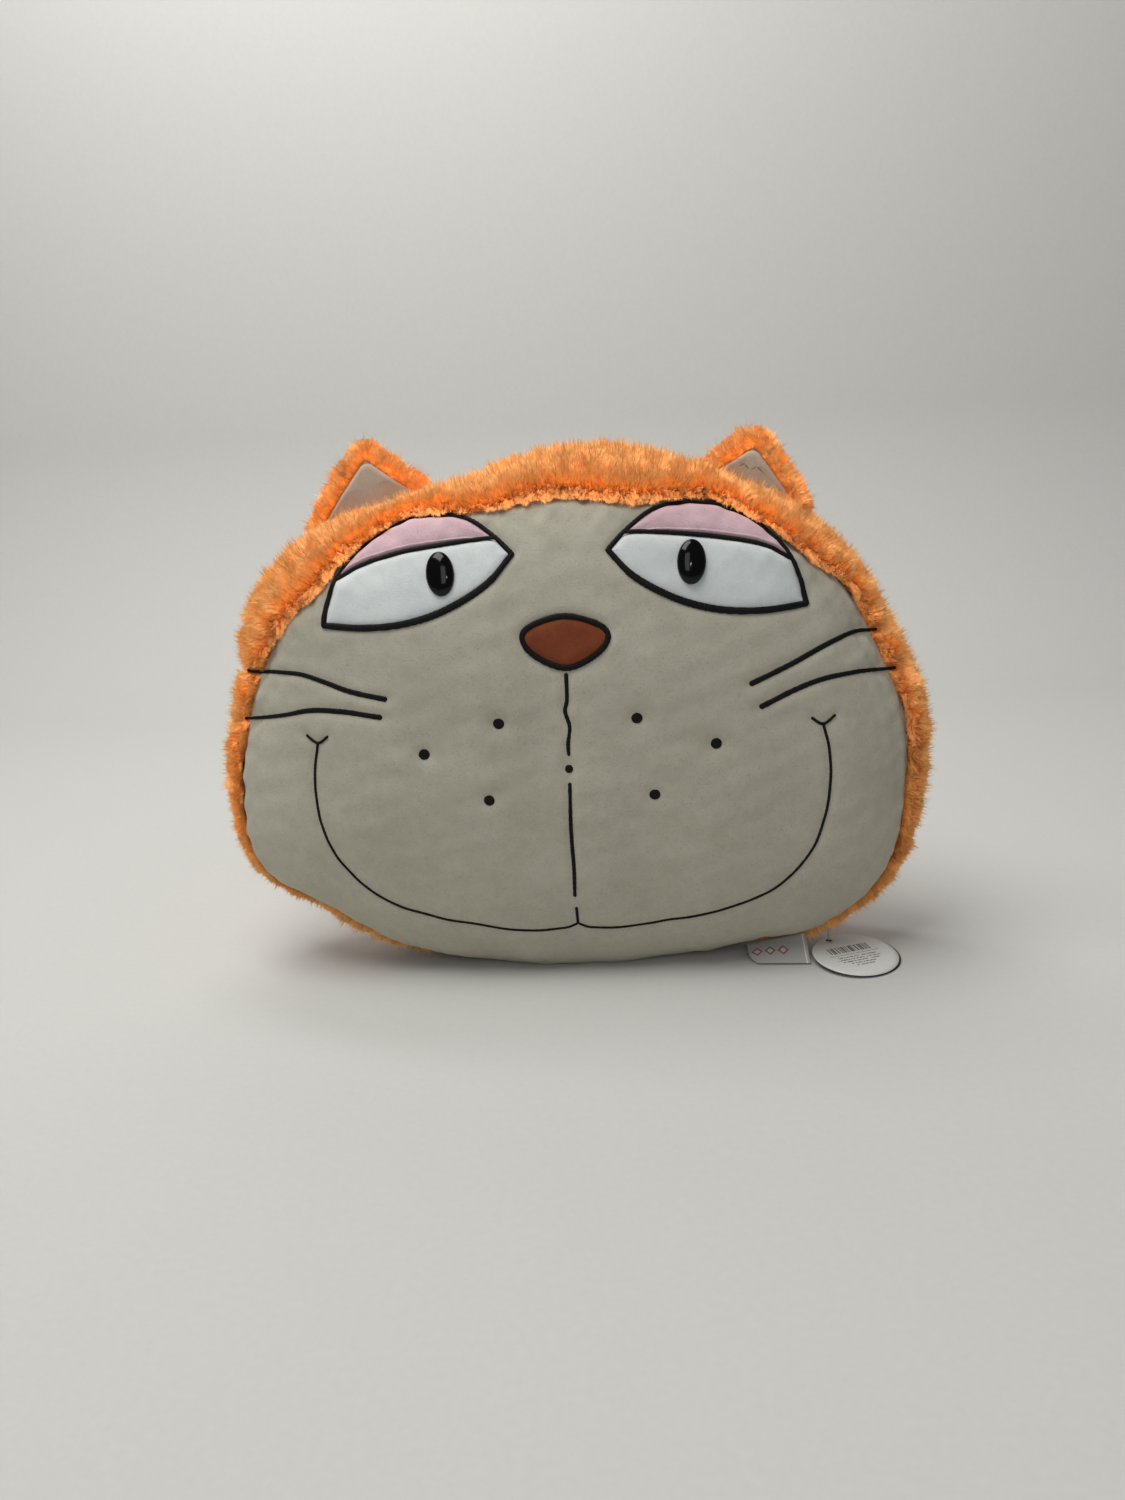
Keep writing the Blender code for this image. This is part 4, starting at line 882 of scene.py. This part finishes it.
def polished_acrylic():
    """Moulded and tumbled acrylic: black, with a clear glassy gloss and faint tumbling marks."""
    material, tree, shader, place = finish("polished black acrylic", IOR=1.49, Specular_IOR_Level=0.3,
                                           Base_Color=linear(PLASTIC_BLACK))
    haze = add(tree, "TexNoise", {"Scale": 1 / 0.003, "Detail": 3.0}, (place, "Vector"))
    rough = add(tree, "MapRange", {"To Min": 0.05, "To Max": 0.14}, (haze, "Value"))
    tree.links.new(rough.outputs[0], shader.inputs["Roughness"])
    return material


def pressed_washer():
    """Natural polypropylene: milky, waxy and slightly see-through."""
    material, tree, shader, place = finish("natural polypropylene", IOR=1.49, Roughness=0.4,
                                           Subsurface_Weight=0.2, Subsurface_Radius=(0.002, 0.002, 0.002))
    cloud = add(tree, "TexNoise", {"Scale": 1 / 0.004}, (place, "Vector"))
    colour = add(tree, "Mix", {"data_type": "RGBA", 6: linear(WASHER_SHADE), 7: linear(WASHER_LIGHT)},
                 (cloud, 0))
    tree.links.new(colour.outputs[2], shader.inputs["Base Color"])
    return material


acrylic = polished_acrylic()
for side, (x, z, lean) in PUPILS.items():
    seat, out = on_face(np.array([x]), np.array([z]), np.array([PUPIL_SEAT]))
    up = np.array([math.sin(math.radians(lean)), 0, math.cos(math.radians(lean))])
    up = unit(up - out[0] * (up @ out[0]))
    right = np.cross(up, out[0])
    rise = np.radians(np.linspace(88, 0, 26))
    wide = np.concatenate([PUPIL_HALF[0] * np.cos(rise), [PUPIL_HALF[0], STEM_RADIUS, STEM_RADIUS]])
    tall = np.concatenate([PUPIL_HALF[1] * np.cos(rise), [PUPIL_HALF[1], STEM_RADIUS, STEM_RADIUS]])
    height = np.concatenate([PUPIL_RIM + PUPIL_DOME * np.sin(rise), [0, 0, -STEM_LENGTH]])
    spoke = 2 * np.pi * np.arange(PUPIL_COLUMNS) / PUPIL_COLUMNS
    local = np.stack([wide[:, None] * np.cos(spoke), tall[:, None] * np.sin(spoke),
                      height[:, None] + 0 * spoke], axis=-1)
    points = seat[0] + local @ np.array([right, up, out[0]])
    top = seat[0] + out[0] * (PUPIL_RIM + PUPIL_DOME)
    end = seat[0] - out[0] * STEM_LENGTH
    column = np.arange(PUPIL_COLUMNS)
    ahead = (column + 1) % PUPIL_COLUMNS
    first = np.stack([0 * column, 1 + column, 1 + ahead], axis=-1)
    base = 1 + PUPIL_COLUMNS * (len(height) - 1)
    final = np.stack([base + column, 0 * column + base + PUPIL_COLUMNS, base + ahead], axis=-1)
    piece(f"pupil_{side}", np.vstack([top[None], points.reshape(-1, 3), end[None]]),
          [first, 1 + quads(len(height), PUPIL_COLUMNS, wrap=True), final], acrylic,
          "cushion", [f"safety_eye_{side}"])
refinish(["eye_washer_left", "eye_washer_right"], pressed_washer())


# ---- Nose -----------------------------------------------------------------------------------
# A pad of brown velour laid over a little wadding and closed all round by satin stitch.

# The root colour is painted shade between the pile tips
NOSE_LIGHT, NOSE_SHADE, NOSE_ROOT_PAINTED_SHADE = "#85472D", "#773D26", "#582A18"

nose_loop = through(NOSE, 0.0005, closed=True)
nose_loop = np.roll(nose_loop, -int(np.argmin(nose_loop[:, 0])), axis=0)
turn = int(np.argmax(nose_loop[:, 0]))
laid_on("nose_velour", np.vstack([nose_loop[turn:], nose_loop[:1]])[::-1], nose_loop[:turn + 1],
        short_pile("brown polyester velour", NOSE_LIGHT, NOSE_SHADE, NOSE_ROOT_PAINTED_SHADE, VELOUR_NAP, 0.25),
        "nose_pad", count=(60, 90))


# ---- Ears -----------------------------------------------------------------------------------
# An ear is a plush back that turns over its edge as a rim, a flat wadding and a minky lining.
# It is closed along its base, pinched there and sewn to the crown, so it can fold over.

EARS = {"left": (133.4, 0.0355, 0.0105, 0.0340), "right": (47.2, 0.0325, -0.0125, 0.0275)}
PILE_TOP = 0.006
EAR_CLEARANCE = -0.0010
EAR_TIP_RADIUS = 0.0055
EAR_BASE_RADIUS = 0.0030
EAR_PINCH = 0.45
EAR_PINCH_HEIGHT = 0.0110
EAR_RIM, EAR_HEM = 0.0050, 0.0016
# Side inset, base inset and depth of the shell, from under the lining round the rim to the back
EAR_SHELL = (
    (0.0062, -0.0040, 0.0022), (0.0056, -0.0040, 0.0030), (0.0036, -0.0040, 0.0036),
    (0.0018, -0.0040, 0.0039), (0.0009, -0.0040, 0.0032), (0.0003, -0.0040, 0.0020),
    (0.0, -0.0040, 0.0006), (0.0, -0.0040, -0.0010), (0.0003, -0.0038, -0.0026),
    (0.0015, -0.0030, -0.0042), (0.0034, -0.0015, -0.0051), (0.0065, 0.0010, -0.0058),
    (0.0095, 0.0035, -0.0061), (0.0115, 0.0055, -0.0062),
)
EAR_LINING = ((0.0060, -0.0040, 0.0026), (0.0063, -0.0039, 0.0036), (0.0071, -0.0035, 0.0041),
              (0.0084, -0.0020, 0.0041), (0.0098, 0.0005, 0.0038), (0.0118, 0.0040, 0.0036))
EAR_PILE = 0.0078
EAR_COUNT = 30000
EAR_BARE_BASE = 0.0030
# The root colour is painted shade between the pile tips
LINING_LIGHT, LINING_SHADE, LINING_ROOT_PAINTED_SHADE = "#D0C6B6", "#C5B9A8", "#A69988"


def rounded_triangle(corners, radii, steps=14, between=16):
    """Points round a triangle whose corners are arcs of the given radii."""
    points = []
    for index in range(3):
        here = np.array(corners[index])
        back, on = unit(np.array([corners[index - 1], corners[(index + 1) % 3]]) - here)
        half = 0.5 * math.acos(float(back @ on))
        centre = here + unit(back + on) * radii[index] / math.sin(half)
        start = here + back * radii[index] / math.tan(half) - centre
        end = here + on * radii[index] / math.tan(half) - centre
        sweep = math.pi - 2 * half
        t = np.linspace(0, 1, steps)[:, None]
        points.append(centre + (np.sin((1 - t) * sweep) * start + np.sin(t * sweep) * end) / math.sin(sweep))
    t = (np.arange(1, between) / between)[:, None]
    return np.vstack([part for index in range(3) for part in
                      (points[index], points[index][-1] * (1 - t) + points[(index + 1) % 3][0] * t)])


def inset_triangle(corners, side, base):
    """The triangle moved in by side along both slanted edges and by base along its base."""
    start = np.array(corners)
    along = unit(np.roll(start, -1, axis=0) - start)
    inwards = np.stack([-along[:, 1], along[:, 0]], axis=-1)
    line = start + inwards * np.array([[base], [side], [side]])
    before = np.roll(line, 1, axis=0)
    previous = np.roll(along, 1, axis=0)
    gap = line - before
    t = gap[:, 0] * along[:, 1] - gap[:, 1] * along[:, 0]
    t = t / (previous[:, 0] * along[:, 1] - previous[:, 1] * along[:, 0])
    return before + previous * t[:, None]


lining_minky = short_pile("warm beige minky lining", LINING_LIGHT, LINING_SHADE, LINING_ROOT_PAINTED_SHADE, VELOUR_NAP,
                          0.3)
for side, (direction, half_base, lean, height) in EARS.items():
    direction = math.radians(direction)
    seat, normal = on_shell(np.array([direction]), np.array([90.0]))
    outwards = normal[0]
    along = unit(np.cross(outwards, [0, -1, 0]))
    seat_top = seat[0] + outwards * PILE_TOP
    origin = seat_top + outwards * EAR_CLEARANCE
    ridge, ridge_out = on_shell(direction + np.linspace(-0.35, 0.35, 41), np.full(41, 90.0))
    ridge = ridge + ridge_out * PILE_TOP - seat_top
    order = np.argsort(ridge @ along)
    corners = ((-half_base, 0.0), (half_base, 0.0), (lean, height))

    def ear_ring(side_inset, base_inset, depth, least=0.25):
        """The ear's outline moved in, put at a depth, following the head at its base and pinched there."""
        share = max(1 - 0.6 * side_inset / EAR_TIP_RADIUS, least)
        radii = (EAR_BASE_RADIUS * share, EAR_BASE_RADIUS * share, EAR_TIP_RADIUS * share)
        flat = rounded_triangle(inset_triangle(corners, side_inset, base_inset), radii)
        drop = np.interp(flat[:, 0], (ridge @ along)[order], (ridge @ outwards)[order])
        pinch = np.clip(EAR_PINCH + (1 - EAR_PINCH) * flat[:, 1] / EAR_PINCH_HEIGHT, 0, 1)
        up = flat[:, 1] + drop * (1 - flat[:, 1] / height)
        plane = origin + flat[:, :1] * along + up[:, None] * outwards
        return plane + (depth * pinch)[:, None] * np.array([0, -1, 0])

    shell = np.stack([ear_ring(*row) for row in EAR_SHELL])
    count = shell.shape[1]
    column = np.arange(count)
    centre = shell[-1].mean(0)
    cap = np.stack([(len(shell) - 1) * count + column, 0 * column + len(shell) * count,
                    (len(shell) - 1) * count + (column + 1) % count], axis=-1)
    ear = piece(f"ear_{side}_plush_ground", np.vstack([shell.reshape(-1, 3), centre]),
                [quads(len(shell), count, wrap=True), cap], plush_ground, f"ear_{side}",
                [f"ear_{side}_back_panel"])

    lining = np.stack([ear_ring(*row, least=1.0) for row in EAR_LINING])
    cap = np.stack([(len(lining) - 1) * count + (column + 1) % count, 0 * column + len(lining) * count,
                    (len(lining) - 1) * count + column], axis=-1)
    inner = piece(f"ear_{side}_minky_lining", np.vstack([lining.reshape(-1, 3), lining[-1].mean(0)]),
                  [quads(len(lining), count, wrap=True)[:, ::-1], cap], lining_minky,
                  f"ear_{side}", [f"ear_{side}_lining"])

    rng = np.random.default_rng(31 if side == "left" else 32)
    closed = np.concatenate([shell, shell[:, :1]], axis=1)[1:]
    root, out, flow = sow(closed, EAR_COUNT, rng)
    standing = ((root - origin) @ outwards > -EAR_BARE_BASE) | (root[:, 1] > seat[0, 1])
    root, out, flow = root[standing], out[standing], flow[standing]
    behind = root[:, 1:2] > seat[0, 1]
    outer = unit(root - centre - out * ((root - centre) * out).sum(-1, keepdims=True))
    flow = unit(np.where(behind, outer + 0.8 * outwards, flow + 0.5 * outwards))
    front = np.clip(-out[:, 1], 0, 1)
    pile = fur(f"ear_{side}_pile", root - out * 0.0004, out, flow, EAR_PILE * (1 - 0.45 * front),
               0.75 + 0.35 * front, PILE_WIDTH, plush_pile, f"ear_{side}", rng)
    pile.visible_shadow = False


# ---- Sewn label -----------------------------------------------------------------------------
# A folded satin ribbon caught in the bottom seam. It is woven with a plain row of diamonds and
# closed at its right end by two rows of pale stitching.

LABEL_DROP_FREE = ((0.1020, -0.0268), (0.1390, -0.0290))
LABEL_WIDTH = 0.036
LABEL_REST = 0.0009
LABEL_THICKNESS = 0.0006
LABEL_ROUND = 0.0060
LABEL_COLUMNS, LABEL_ROWS = 60, 32
RIBBON_LIGHT, RIBBON_SHADE = "#C9C9C4", "#A5A5A0"
MOTIF_RED, MOTIF_PALE = "#A8475A", "#D8D2CC"
MOTIF_PITCH = 0.0078
MOTIF_HEIGHT, MOTIF_HALF, MOTIF_INNER = 0.0105, 0.0034, 0.0020
END_STITCH, END_FROM, END_TO = "#F0EFEA", 0.0325, 0.0355
RIBBON_WEFT = 0.0007


def satin_ribbon():
    """Woven polyester satin: a cool grey weft with a long smooth float, so it shines along its width."""
    material, tree, shader, place = finish("grey woven satin ribbon", Roughness=0.38, Specular_IOR_Level=0.5,
                                           Sheen_Weight=0.25)
    across = add(tree, "UVMap", {"uv_map": "ribbon"})
    parts = add(tree, "SeparateXYZ", {}, (across, 0))
    weft = add(tree, "TexWave", {"Scale": 0.5 / RIBBON_WEFT, "bands_direction": "Y", "Distortion": 0.4},
               (across, "Vector"))
    colour = add(tree, "Mix", {"data_type": "RGBA", 6: linear(RIBBON_SHADE), 7: linear(RIBBON_LIGHT)},
                 (weft.outputs["Fac"], 0))
    shift = add(tree, "Math", {"operation": "SUBTRACT", 1: 0.7 * MOTIF_PITCH}, (parts, 0))
    repeat = add(tree, "Math", {"operation": "PINGPONG", 1: MOTIF_PITCH / 2}, (shift, 0))
    rise = add(tree, "Math", {"operation": "SUBTRACT", 1: MOTIF_HEIGHT}, (parts.outputs[1], 0))
    height = add(tree, "Math", {"operation": "ABSOLUTE"}, (rise, 0))
    diamond = add(tree, "Math", {"operation": "ADD"}, (repeat, 0), (height, 1))
    pale = add(tree, "Math", {"operation": "LESS_THAN", 1: MOTIF_INNER}, (diamond, 0))
    red = add(tree, "Math", {"operation": "LESS_THAN", 1: MOTIF_HALF}, (diamond, 0))
    inside = add(tree, "Math", {"operation": "LESS_THAN", 1: 3.2 * MOTIF_PITCH}, (parts, 0))
    pale_in = add(tree, "Math", {"operation": "MULTIPLY"}, (pale, 0), (inside, 1))
    red_in = add(tree, "Math", {"operation": "MULTIPLY"}, (red, 0), (inside, 1))
    with_red = add(tree, "Mix", {"data_type": "RGBA", 7: linear(MOTIF_RED)}, (red_in, 0),
                   (colour.outputs[2], 6))
    with_pale = add(tree, "Mix", {"data_type": "RGBA", 7: linear(MOTIF_PALE)}, (pale_in, 0),
                    (with_red.outputs[2], 6))
    row = add(tree, "Math", {"operation": "PINGPONG", 1: 0.0010}, (parts, 0))
    stitched = add(tree, "Math", {"operation": "LESS_THAN", 1: 0.00035}, (row, 0))
    end = add(tree, "Math", {"operation": "GREATER_THAN", 1: END_FROM}, (parts, 0))
    last = add(tree, "Math", {"operation": "LESS_THAN", 1: END_TO}, (parts, 0))
    both = add(tree, "Math", {"operation": "MULTIPLY"}, (end, 0), (last, 1))
    shown = add(tree, "Math", {"operation": "MULTIPLY"}, (both, 0), (stitched, 1))
    whole = add(tree, "Mix", {"data_type": "RGBA", 7: linear(END_STITCH)}, (shown, 0),
                (with_pale.outputs[2], 6))
    bump = add(tree, "Bump", {"Strength": 0.5, "Distance": 0.0002}, (weft.outputs["Fac"], "Height"))
    tree.links.new(whole.outputs[2], shader.inputs["Base Color"])
    tree.links.new(bump.outputs[0], shader.inputs["Normal"])
    return material


def lay_map(made, name, u, v):
    """A UV map in metres, from values given for each point."""
    mesh = made.data
    corner = np.empty(len(mesh.loops), np.int32)
    mesh.loops.foreach_get("vertex_index", corner)
    layer = mesh.uv_layers.new(name=name)
    places = np.stack([np.ravel(u)[corner], np.ravel(v)[corner]], axis=-1)
    layer.data.foreach_set("uv", places.ravel().astype(np.float32))


joints = {joint["name"]: joint for joint in frame["record"]["behaviour"]["joints"]}
hinge = np.array(joints["label_lift"]["pos_m"])
along = -np.array(joints["label_lift"]["axis"])
sewn_edge = np.stack([hinge, hinge + along / along[0] * LABEL_WIDTH])
free_edge = np.array([(x, y, LABEL_REST) for x, y in LABEL_DROP_FREE])
u, v = np.meshgrid(np.linspace(0, 1, LABEL_COLUMNS), np.linspace(0, 1, LABEL_ROWS))
near = np.clip(1 - u * LABEL_WIDTH / LABEL_ROUND, 0, 1)
v_cut = v * (1 - 0.45 * near**2)
top = sewn_edge[0] * (1 - u)[..., None] + sewn_edge[1] * u[..., None]
bottom = free_edge[0] * (1 - u)[..., None] + free_edge[1] * u[..., None]
points = top * (1 - v_cut)[..., None] + bottom * v_cut[..., None]
points[..., 2] += 0.0007 * np.sin(np.pi * v) * (1 + 0.6 * np.sin(5 * u)) + 0.0002
points = np.concatenate([points[..., :2], np.maximum(points[..., 2:], LABEL_REST - 0.0002)], axis=-1)
label = piece("label_ribbon", points, [quads(LABEL_ROWS, LABEL_COLUMNS)], satin_ribbon(),
              "label", ["sewn_label"])
reach = float(np.linalg.norm(bottom[0, 0] - top[0, 0]))
lay_map(label, "ribbon", u * LABEL_WIDTH, v_cut * reach)
wall = label.modifiers.new("ribbon thickness", "SOLIDIFY")
wall.thickness = LABEL_THICKNESS
wall.offset = 0.0


# ---- Hang tag -------------------------------------------------------------------------------
# Two round leaves of 0.5 mm card on a clear nylon pin shot through the seam. The top leaf is
# white and printed in grey: bars, a rule and lines of dummy print; the lower leaf is dark green.

TAG_RADIUS = 0.0260
TAG_HOLE = 0.0020
TAG_HOLE_FROM_CENTRE = 0.0222
TAG_TILT = 4.5
TAG_CARD = 0.0005
TAG_LOWER_TURN = -5.0
TAG_UPPER_TURN = 0.0
LEAF_SPACING = 0.0012
PRINT_TURN = -164.0
CARD_WHITE, CARD_SHADE = "#ECEDEA", "#D9DAD6"
PRINT_GREY = "#55564F"
# Lower edge, upper edge and half width of each printed row, and what fills it
PRINT = (
    (0.0035, 0.0110, 0.0140, "bars"), (0.0010, 0.0014, 0.0170, "rule"),
    (-0.0024, -0.0014, 0.0130, "dummy print"), (-0.0050, -0.0040, 0.0150, "dummy print"),
    (-0.0076, -0.0066, 0.0125, "dummy print"), (-0.0102, -0.0092, 0.0085, "dummy print"),
    (-0.0128, -0.0118, 0.0060, "dummy print"),
)
CARD_GREEN, CARD_GREEN_SHADE = "#1F3028", "#16231D"
PIN_SHADE, PIN_LIGHT = "#D8DAD8", "#F4F5F3"
LEAF_ROWS, LEAF_COLUMNS = 12, 90


def card(name, light, shade, printed):
    """Coated card: smooth and faintly mottled, with flat grey ink where it is printed."""
    material, tree, shader, place = finish(name, Roughness=0.5, Specular_IOR_Level=0.4)
    leaf = add(tree, "UVMap", {"uv_map": "leaf"})
    mottle = add(tree, "TexNoise", {"Scale": 1 / 0.0015, "Detail": 3.0}, (place, "Vector"))
    colour = add(tree, "Mix", {"data_type": "RGBA", 6: linear(shade), 7: linear(light)},
                 (mottle, 0))
    last = colour.outputs[2]
    if printed:
        parts = add(tree, "SeparateXYZ", {}, (leaf, 0))
        across, up = parts.outputs[0], parts.outputs[1]
        stripe = add(tree, "TexNoise", {"noise_dimensions": "1D", "Scale": 1 / 0.0011, "Detail": 0.0},
                     (across, "W"))
        bar = add(tree, "Math", {"operation": "GREATER_THAN", 1: 0.5}, (stripe, 0))
        word = add(tree, "TexNoise", {"noise_dimensions": "2D", "Scale": 1 / 0.0016, "Detail": 1.0},
                   (leaf, "Vector"))
        ink = add(tree, "Math", {"operation": "GREATER_THAN", 1: 0.44}, (word, 0))
        for low, high, half, kind in PRINT:
            source = {"bars": bar, "dummy print": ink, "rule": None}[kind]
            middle = add(tree, "Math", {"operation": "SUBTRACT", 1: (low + high) / 2}, (up, 0))
            rise = add(tree, "Math", {"operation": "ABSOLUTE"}, (middle, 0))
            tall = add(tree, "Math", {"operation": "LESS_THAN", 1: (high - low) / 2}, (rise, 0))
            side = add(tree, "Math", {"operation": "ABSOLUTE"}, (across, 0))
            wide = add(tree, "Math", {"operation": "LESS_THAN", 1: half}, (side, 0))
            block = add(tree, "Math", {"operation": "MULTIPLY"}, (tall, 0), (wide, 1))
            if source:
                block = add(tree, "Math", {"operation": "MULTIPLY"}, (block, 0),
                            (source, 1))
            over_it = add(tree, "Mix", {"data_type": "RGBA", 7: linear(PRINT_GREY)}, (block, 0),
                          (last, 6))
            last = over_it.outputs[2]
    bump = add(tree, "Bump", {"Strength": 0.15, "Distance": 0.0001}, (mottle, "Height"))
    tree.links.new(last, shader.inputs["Base Color"])
    tree.links.new(bump.outputs[0], shader.inputs["Normal"])
    return material


hole = np.array(joints["tag_lift"]["pos_m"])
axis = np.array(joints["tag_lift"]["axis"])
far = np.cross([0, 0, 1.0], axis)
reach = far * math.cos(math.radians(TAG_TILT)) - np.array([0, 0, 1.0]) * math.sin(math.radians(TAG_TILT))
upright = np.cross(axis, reach)
spoke = 2 * np.pi * np.arange(LEAF_COLUMNS)[None, :] / LEAF_COLUMNS
share = np.linspace(0, 1, LEAF_ROWS)[:, None]
for name, body, turn, height, finish_card, slot in (
        ("hang_tag_lower_leaf", "tag_lower", TAG_LOWER_TURN, 0.0,
         card("dark green coated card", CARD_GREEN, CARD_GREEN_SHADE, False), "dark_card"),
        ("hang_tag_upper_leaf", "tag_upper", TAG_UPPER_TURN, LEAF_SPACING,
         card("white coated card", CARD_WHITE, CARD_SHADE, True), "white_card")):
    turn = math.radians(turn)
    middle = np.array([math.sin(turn), math.cos(turn)]) * TAG_HOLE_FROM_CENTRE
    radius = TAG_HOLE + (TAG_RADIUS - TAG_HOLE) * share
    u = middle[0] * share + radius * np.cos(spoke)
    v = middle[1] * share + radius * np.sin(spoke)
    points = hole + upright * height + u[..., None] * axis + v[..., None] * reach
    leaf = piece(f"{name}_card", points, [quads(LEAF_ROWS, LEAF_COLUMNS, wrap=True)], finish_card, body,
                 [name])
    print_turn = math.radians(PRINT_TURN)
    du, dv = u - middle[0], v - middle[1]
    lay_map(leaf, "leaf", du * math.cos(print_turn) - dv * math.sin(print_turn),
            du * math.sin(print_turn) + dv * math.cos(print_turn))
    wall = leaf.modifiers.new("card thickness", "SOLIDIFY")
    wall.thickness = TAG_CARD
    wall.offset = 0.0


def clear_nylon():
    """Extruded nylon: clear, slightly milky, with a soft gloss."""
    material, tree, shader, place = finish("clear nylon pin", IOR=1.53, Roughness=0.2,
                                           Transmission_Weight=0.7)
    haze = add(tree, "TexNoise", {"Scale": 1 / 0.002}, (place, "Vector"))
    colour = add(tree, "Mix", {"data_type": "RGBA", 6: linear(PIN_SHADE), 7: linear(PIN_LIGHT)},
                 (haze, 0))
    tree.links.new(colour.outputs[2], shader.inputs["Base Color"])
    return material


refinish(["tag_pin"], clear_nylon())


# ---- Room, light and camera -----------------------------------------------------------------
# A pale sheet of paper hangs behind the cushion and turns forward under it. One broad light
# stands above and a little to the left, and the room fills the shadows. The paper hangs well
# back, so that there is room on the floor to look at the back of the cushion too.

PAPER_WALL = 0.95
PAPER_CURVE = 0.30
PAPER_HALF = 3.0
PAPER_HEIGHT = 3.2
PAPER_FRONT = -3.0
PAPER_SHADE, PAPER_LIGHT = "#CDCDC9", "#D3D3CF"
ROOM_COLOUR, ROOM_STRENGTH = "#E9EBEE", 0.14


def paper():
    """Matt paper: a warm pale grey with a very faint grain."""
    material, tree, shader, place = finish("matt backdrop paper", Roughness=0.9, Specular_IOR_Level=0.1)
    grain = add(tree, "TexNoise", {"Scale": 1 / 0.004, "Detail": 3.0}, (place, "Vector"))
    colour = add(tree, "Mix", {"data_type": "RGBA", 6: linear(PAPER_SHADE), 7: linear(PAPER_LIGHT)},
                 (grain, 0))
    tree.links.new(colour.outputs[2], shader.inputs["Base Color"])
    return material


bend = np.linspace(0, np.pi / 2, 48)
curve_y = np.concatenate([[PAPER_FRONT], PAPER_WALL - PAPER_CURVE + PAPER_CURVE * np.sin(bend),
                          [PAPER_WALL]])
curve_z = np.concatenate([[0.0], PAPER_CURVE * (1 - np.cos(bend)), [PAPER_HEIGHT]])
across = np.array([-PAPER_HALF, PAPER_HALF])
sheet_points = np.stack([across[None, :] + 0 * curve_y[:, None], curve_y[:, None] + 0 * across[None, :],
                         curve_z[:, None] + 0 * across[None, :]], axis=-1)
backdrop_mesh = bpy.data.meshes.new("backdrop")
backdrop_mesh.from_pydata(sheet_points.reshape(-1, 3).tolist(), [], quads(len(curve_y), 2)[:, ::-1].tolist())
backdrop_mesh.shade_smooth()
backdrop_mesh.materials.append(paper())
backdrop = bpy.data.objects.new("backdrop", backdrop_mesh)
bpy.context.scene.collection.objects.link(backdrop)

LIGHTS = (  # name, place, aim, width, height, power in watts, colour
    ("overhead", (-0.45, -0.35, 1.7), (0.0, 0.10, 0.10), 1.2, 1.0, 22.0, "#FFFDFA"),
    ("ceiling strip", (-0.30, 0.40, 1.45), (-0.05, 0.95, 0.75), 0.9, 0.25, 6.0, "#FFFFFF"),
    ("tall window", (-0.10, -2.2, 1.3), (0.0, 0.0, 0.2), 0.8, 1.3, 6.0, "#F4F7FF"),
    ("small lamp", (0.45, -1.9, 1.0), (0.0, 0.0, 0.2), 0.07, 0.10, 1.0, "#FFFFFF"),
)


def basis(back, roll=0.0):
    """Rotation columns (right, up, back) of something that looks away from back, rolled about it."""
    back = unit(np.array(back, float))
    right = unit(np.cross([0, 0, 1.0], back))
    up = np.cross(back, right)
    turn = math.radians(roll)
    return np.array([right * math.cos(turn) - up * math.sin(turn),
                     up * math.cos(turn) + right * math.sin(turn), back])


def placed(made, columns, position):
    """Put a light or camera at a position, its own axes along the given columns."""
    matrix = np.eye(4)
    matrix[:3, :3] = columns.T
    matrix[:3, 3] = position
    made.matrix_world = Matrix(matrix.tolist())
    bpy.context.scene.collection.objects.link(made)


for name, position, aim, width, height, power, colour in LIGHTS:
    lamp = bpy.data.lights.new(name, "AREA")
    lamp.shape = "RECTANGLE"
    lamp.size, lamp.size_y = width, height
    lamp.energy = power
    lamp.color = linear(colour)[:3]
    placed(bpy.data.objects.new(name, lamp), basis(np.subtract(position, aim)), position)

world = bpy.data.worlds.new("room")
world.use_nodes = True
backlight = world.node_tree.nodes["Background"].inputs
backlight["Color"].default_value = linear(ROOM_COLOUR)
backlight["Strength"].default_value = ROOM_STRENGTH
bpy.context.scene.world = world

CAMERA_AZIMUTH, CAMERA_ELEVATION, CAMERA_ROLL = 3.0, 14.0, 3.0
CAMERA_DISTANCE = 0.785
CAMERA_LENS = 31.18
AIM_RIGHT, AIM_UP = 0.0073, 0.0346
azimuth, elevation = math.radians(CAMERA_AZIMUTH), math.radians(CAMERA_ELEVATION)
away = np.array([math.sin(azimuth) * math.cos(elevation), -math.cos(azimuth) * math.cos(elevation),
                 math.sin(elevation)])
columns = basis(away, CAMERA_ROLL)
back = unit(columns[2] + columns[0] * AIM_RIGHT + columns[1] * AIM_UP)
right = unit(columns[0] - back * (columns[0] @ back))
lens = bpy.data.cameras.new("camera")
lens.lens = CAMERA_LENS
camera = bpy.data.objects.new("camera", lens)
placed(camera, np.array([right, np.cross(back, right), back]),
       np.array([0, 0, CENTRE_HEIGHT]) + away * CAMERA_DISTANCE)
bpy.context.scene.camera = camera
bpy.context.scene.view_settings.view_transform = "Standard"
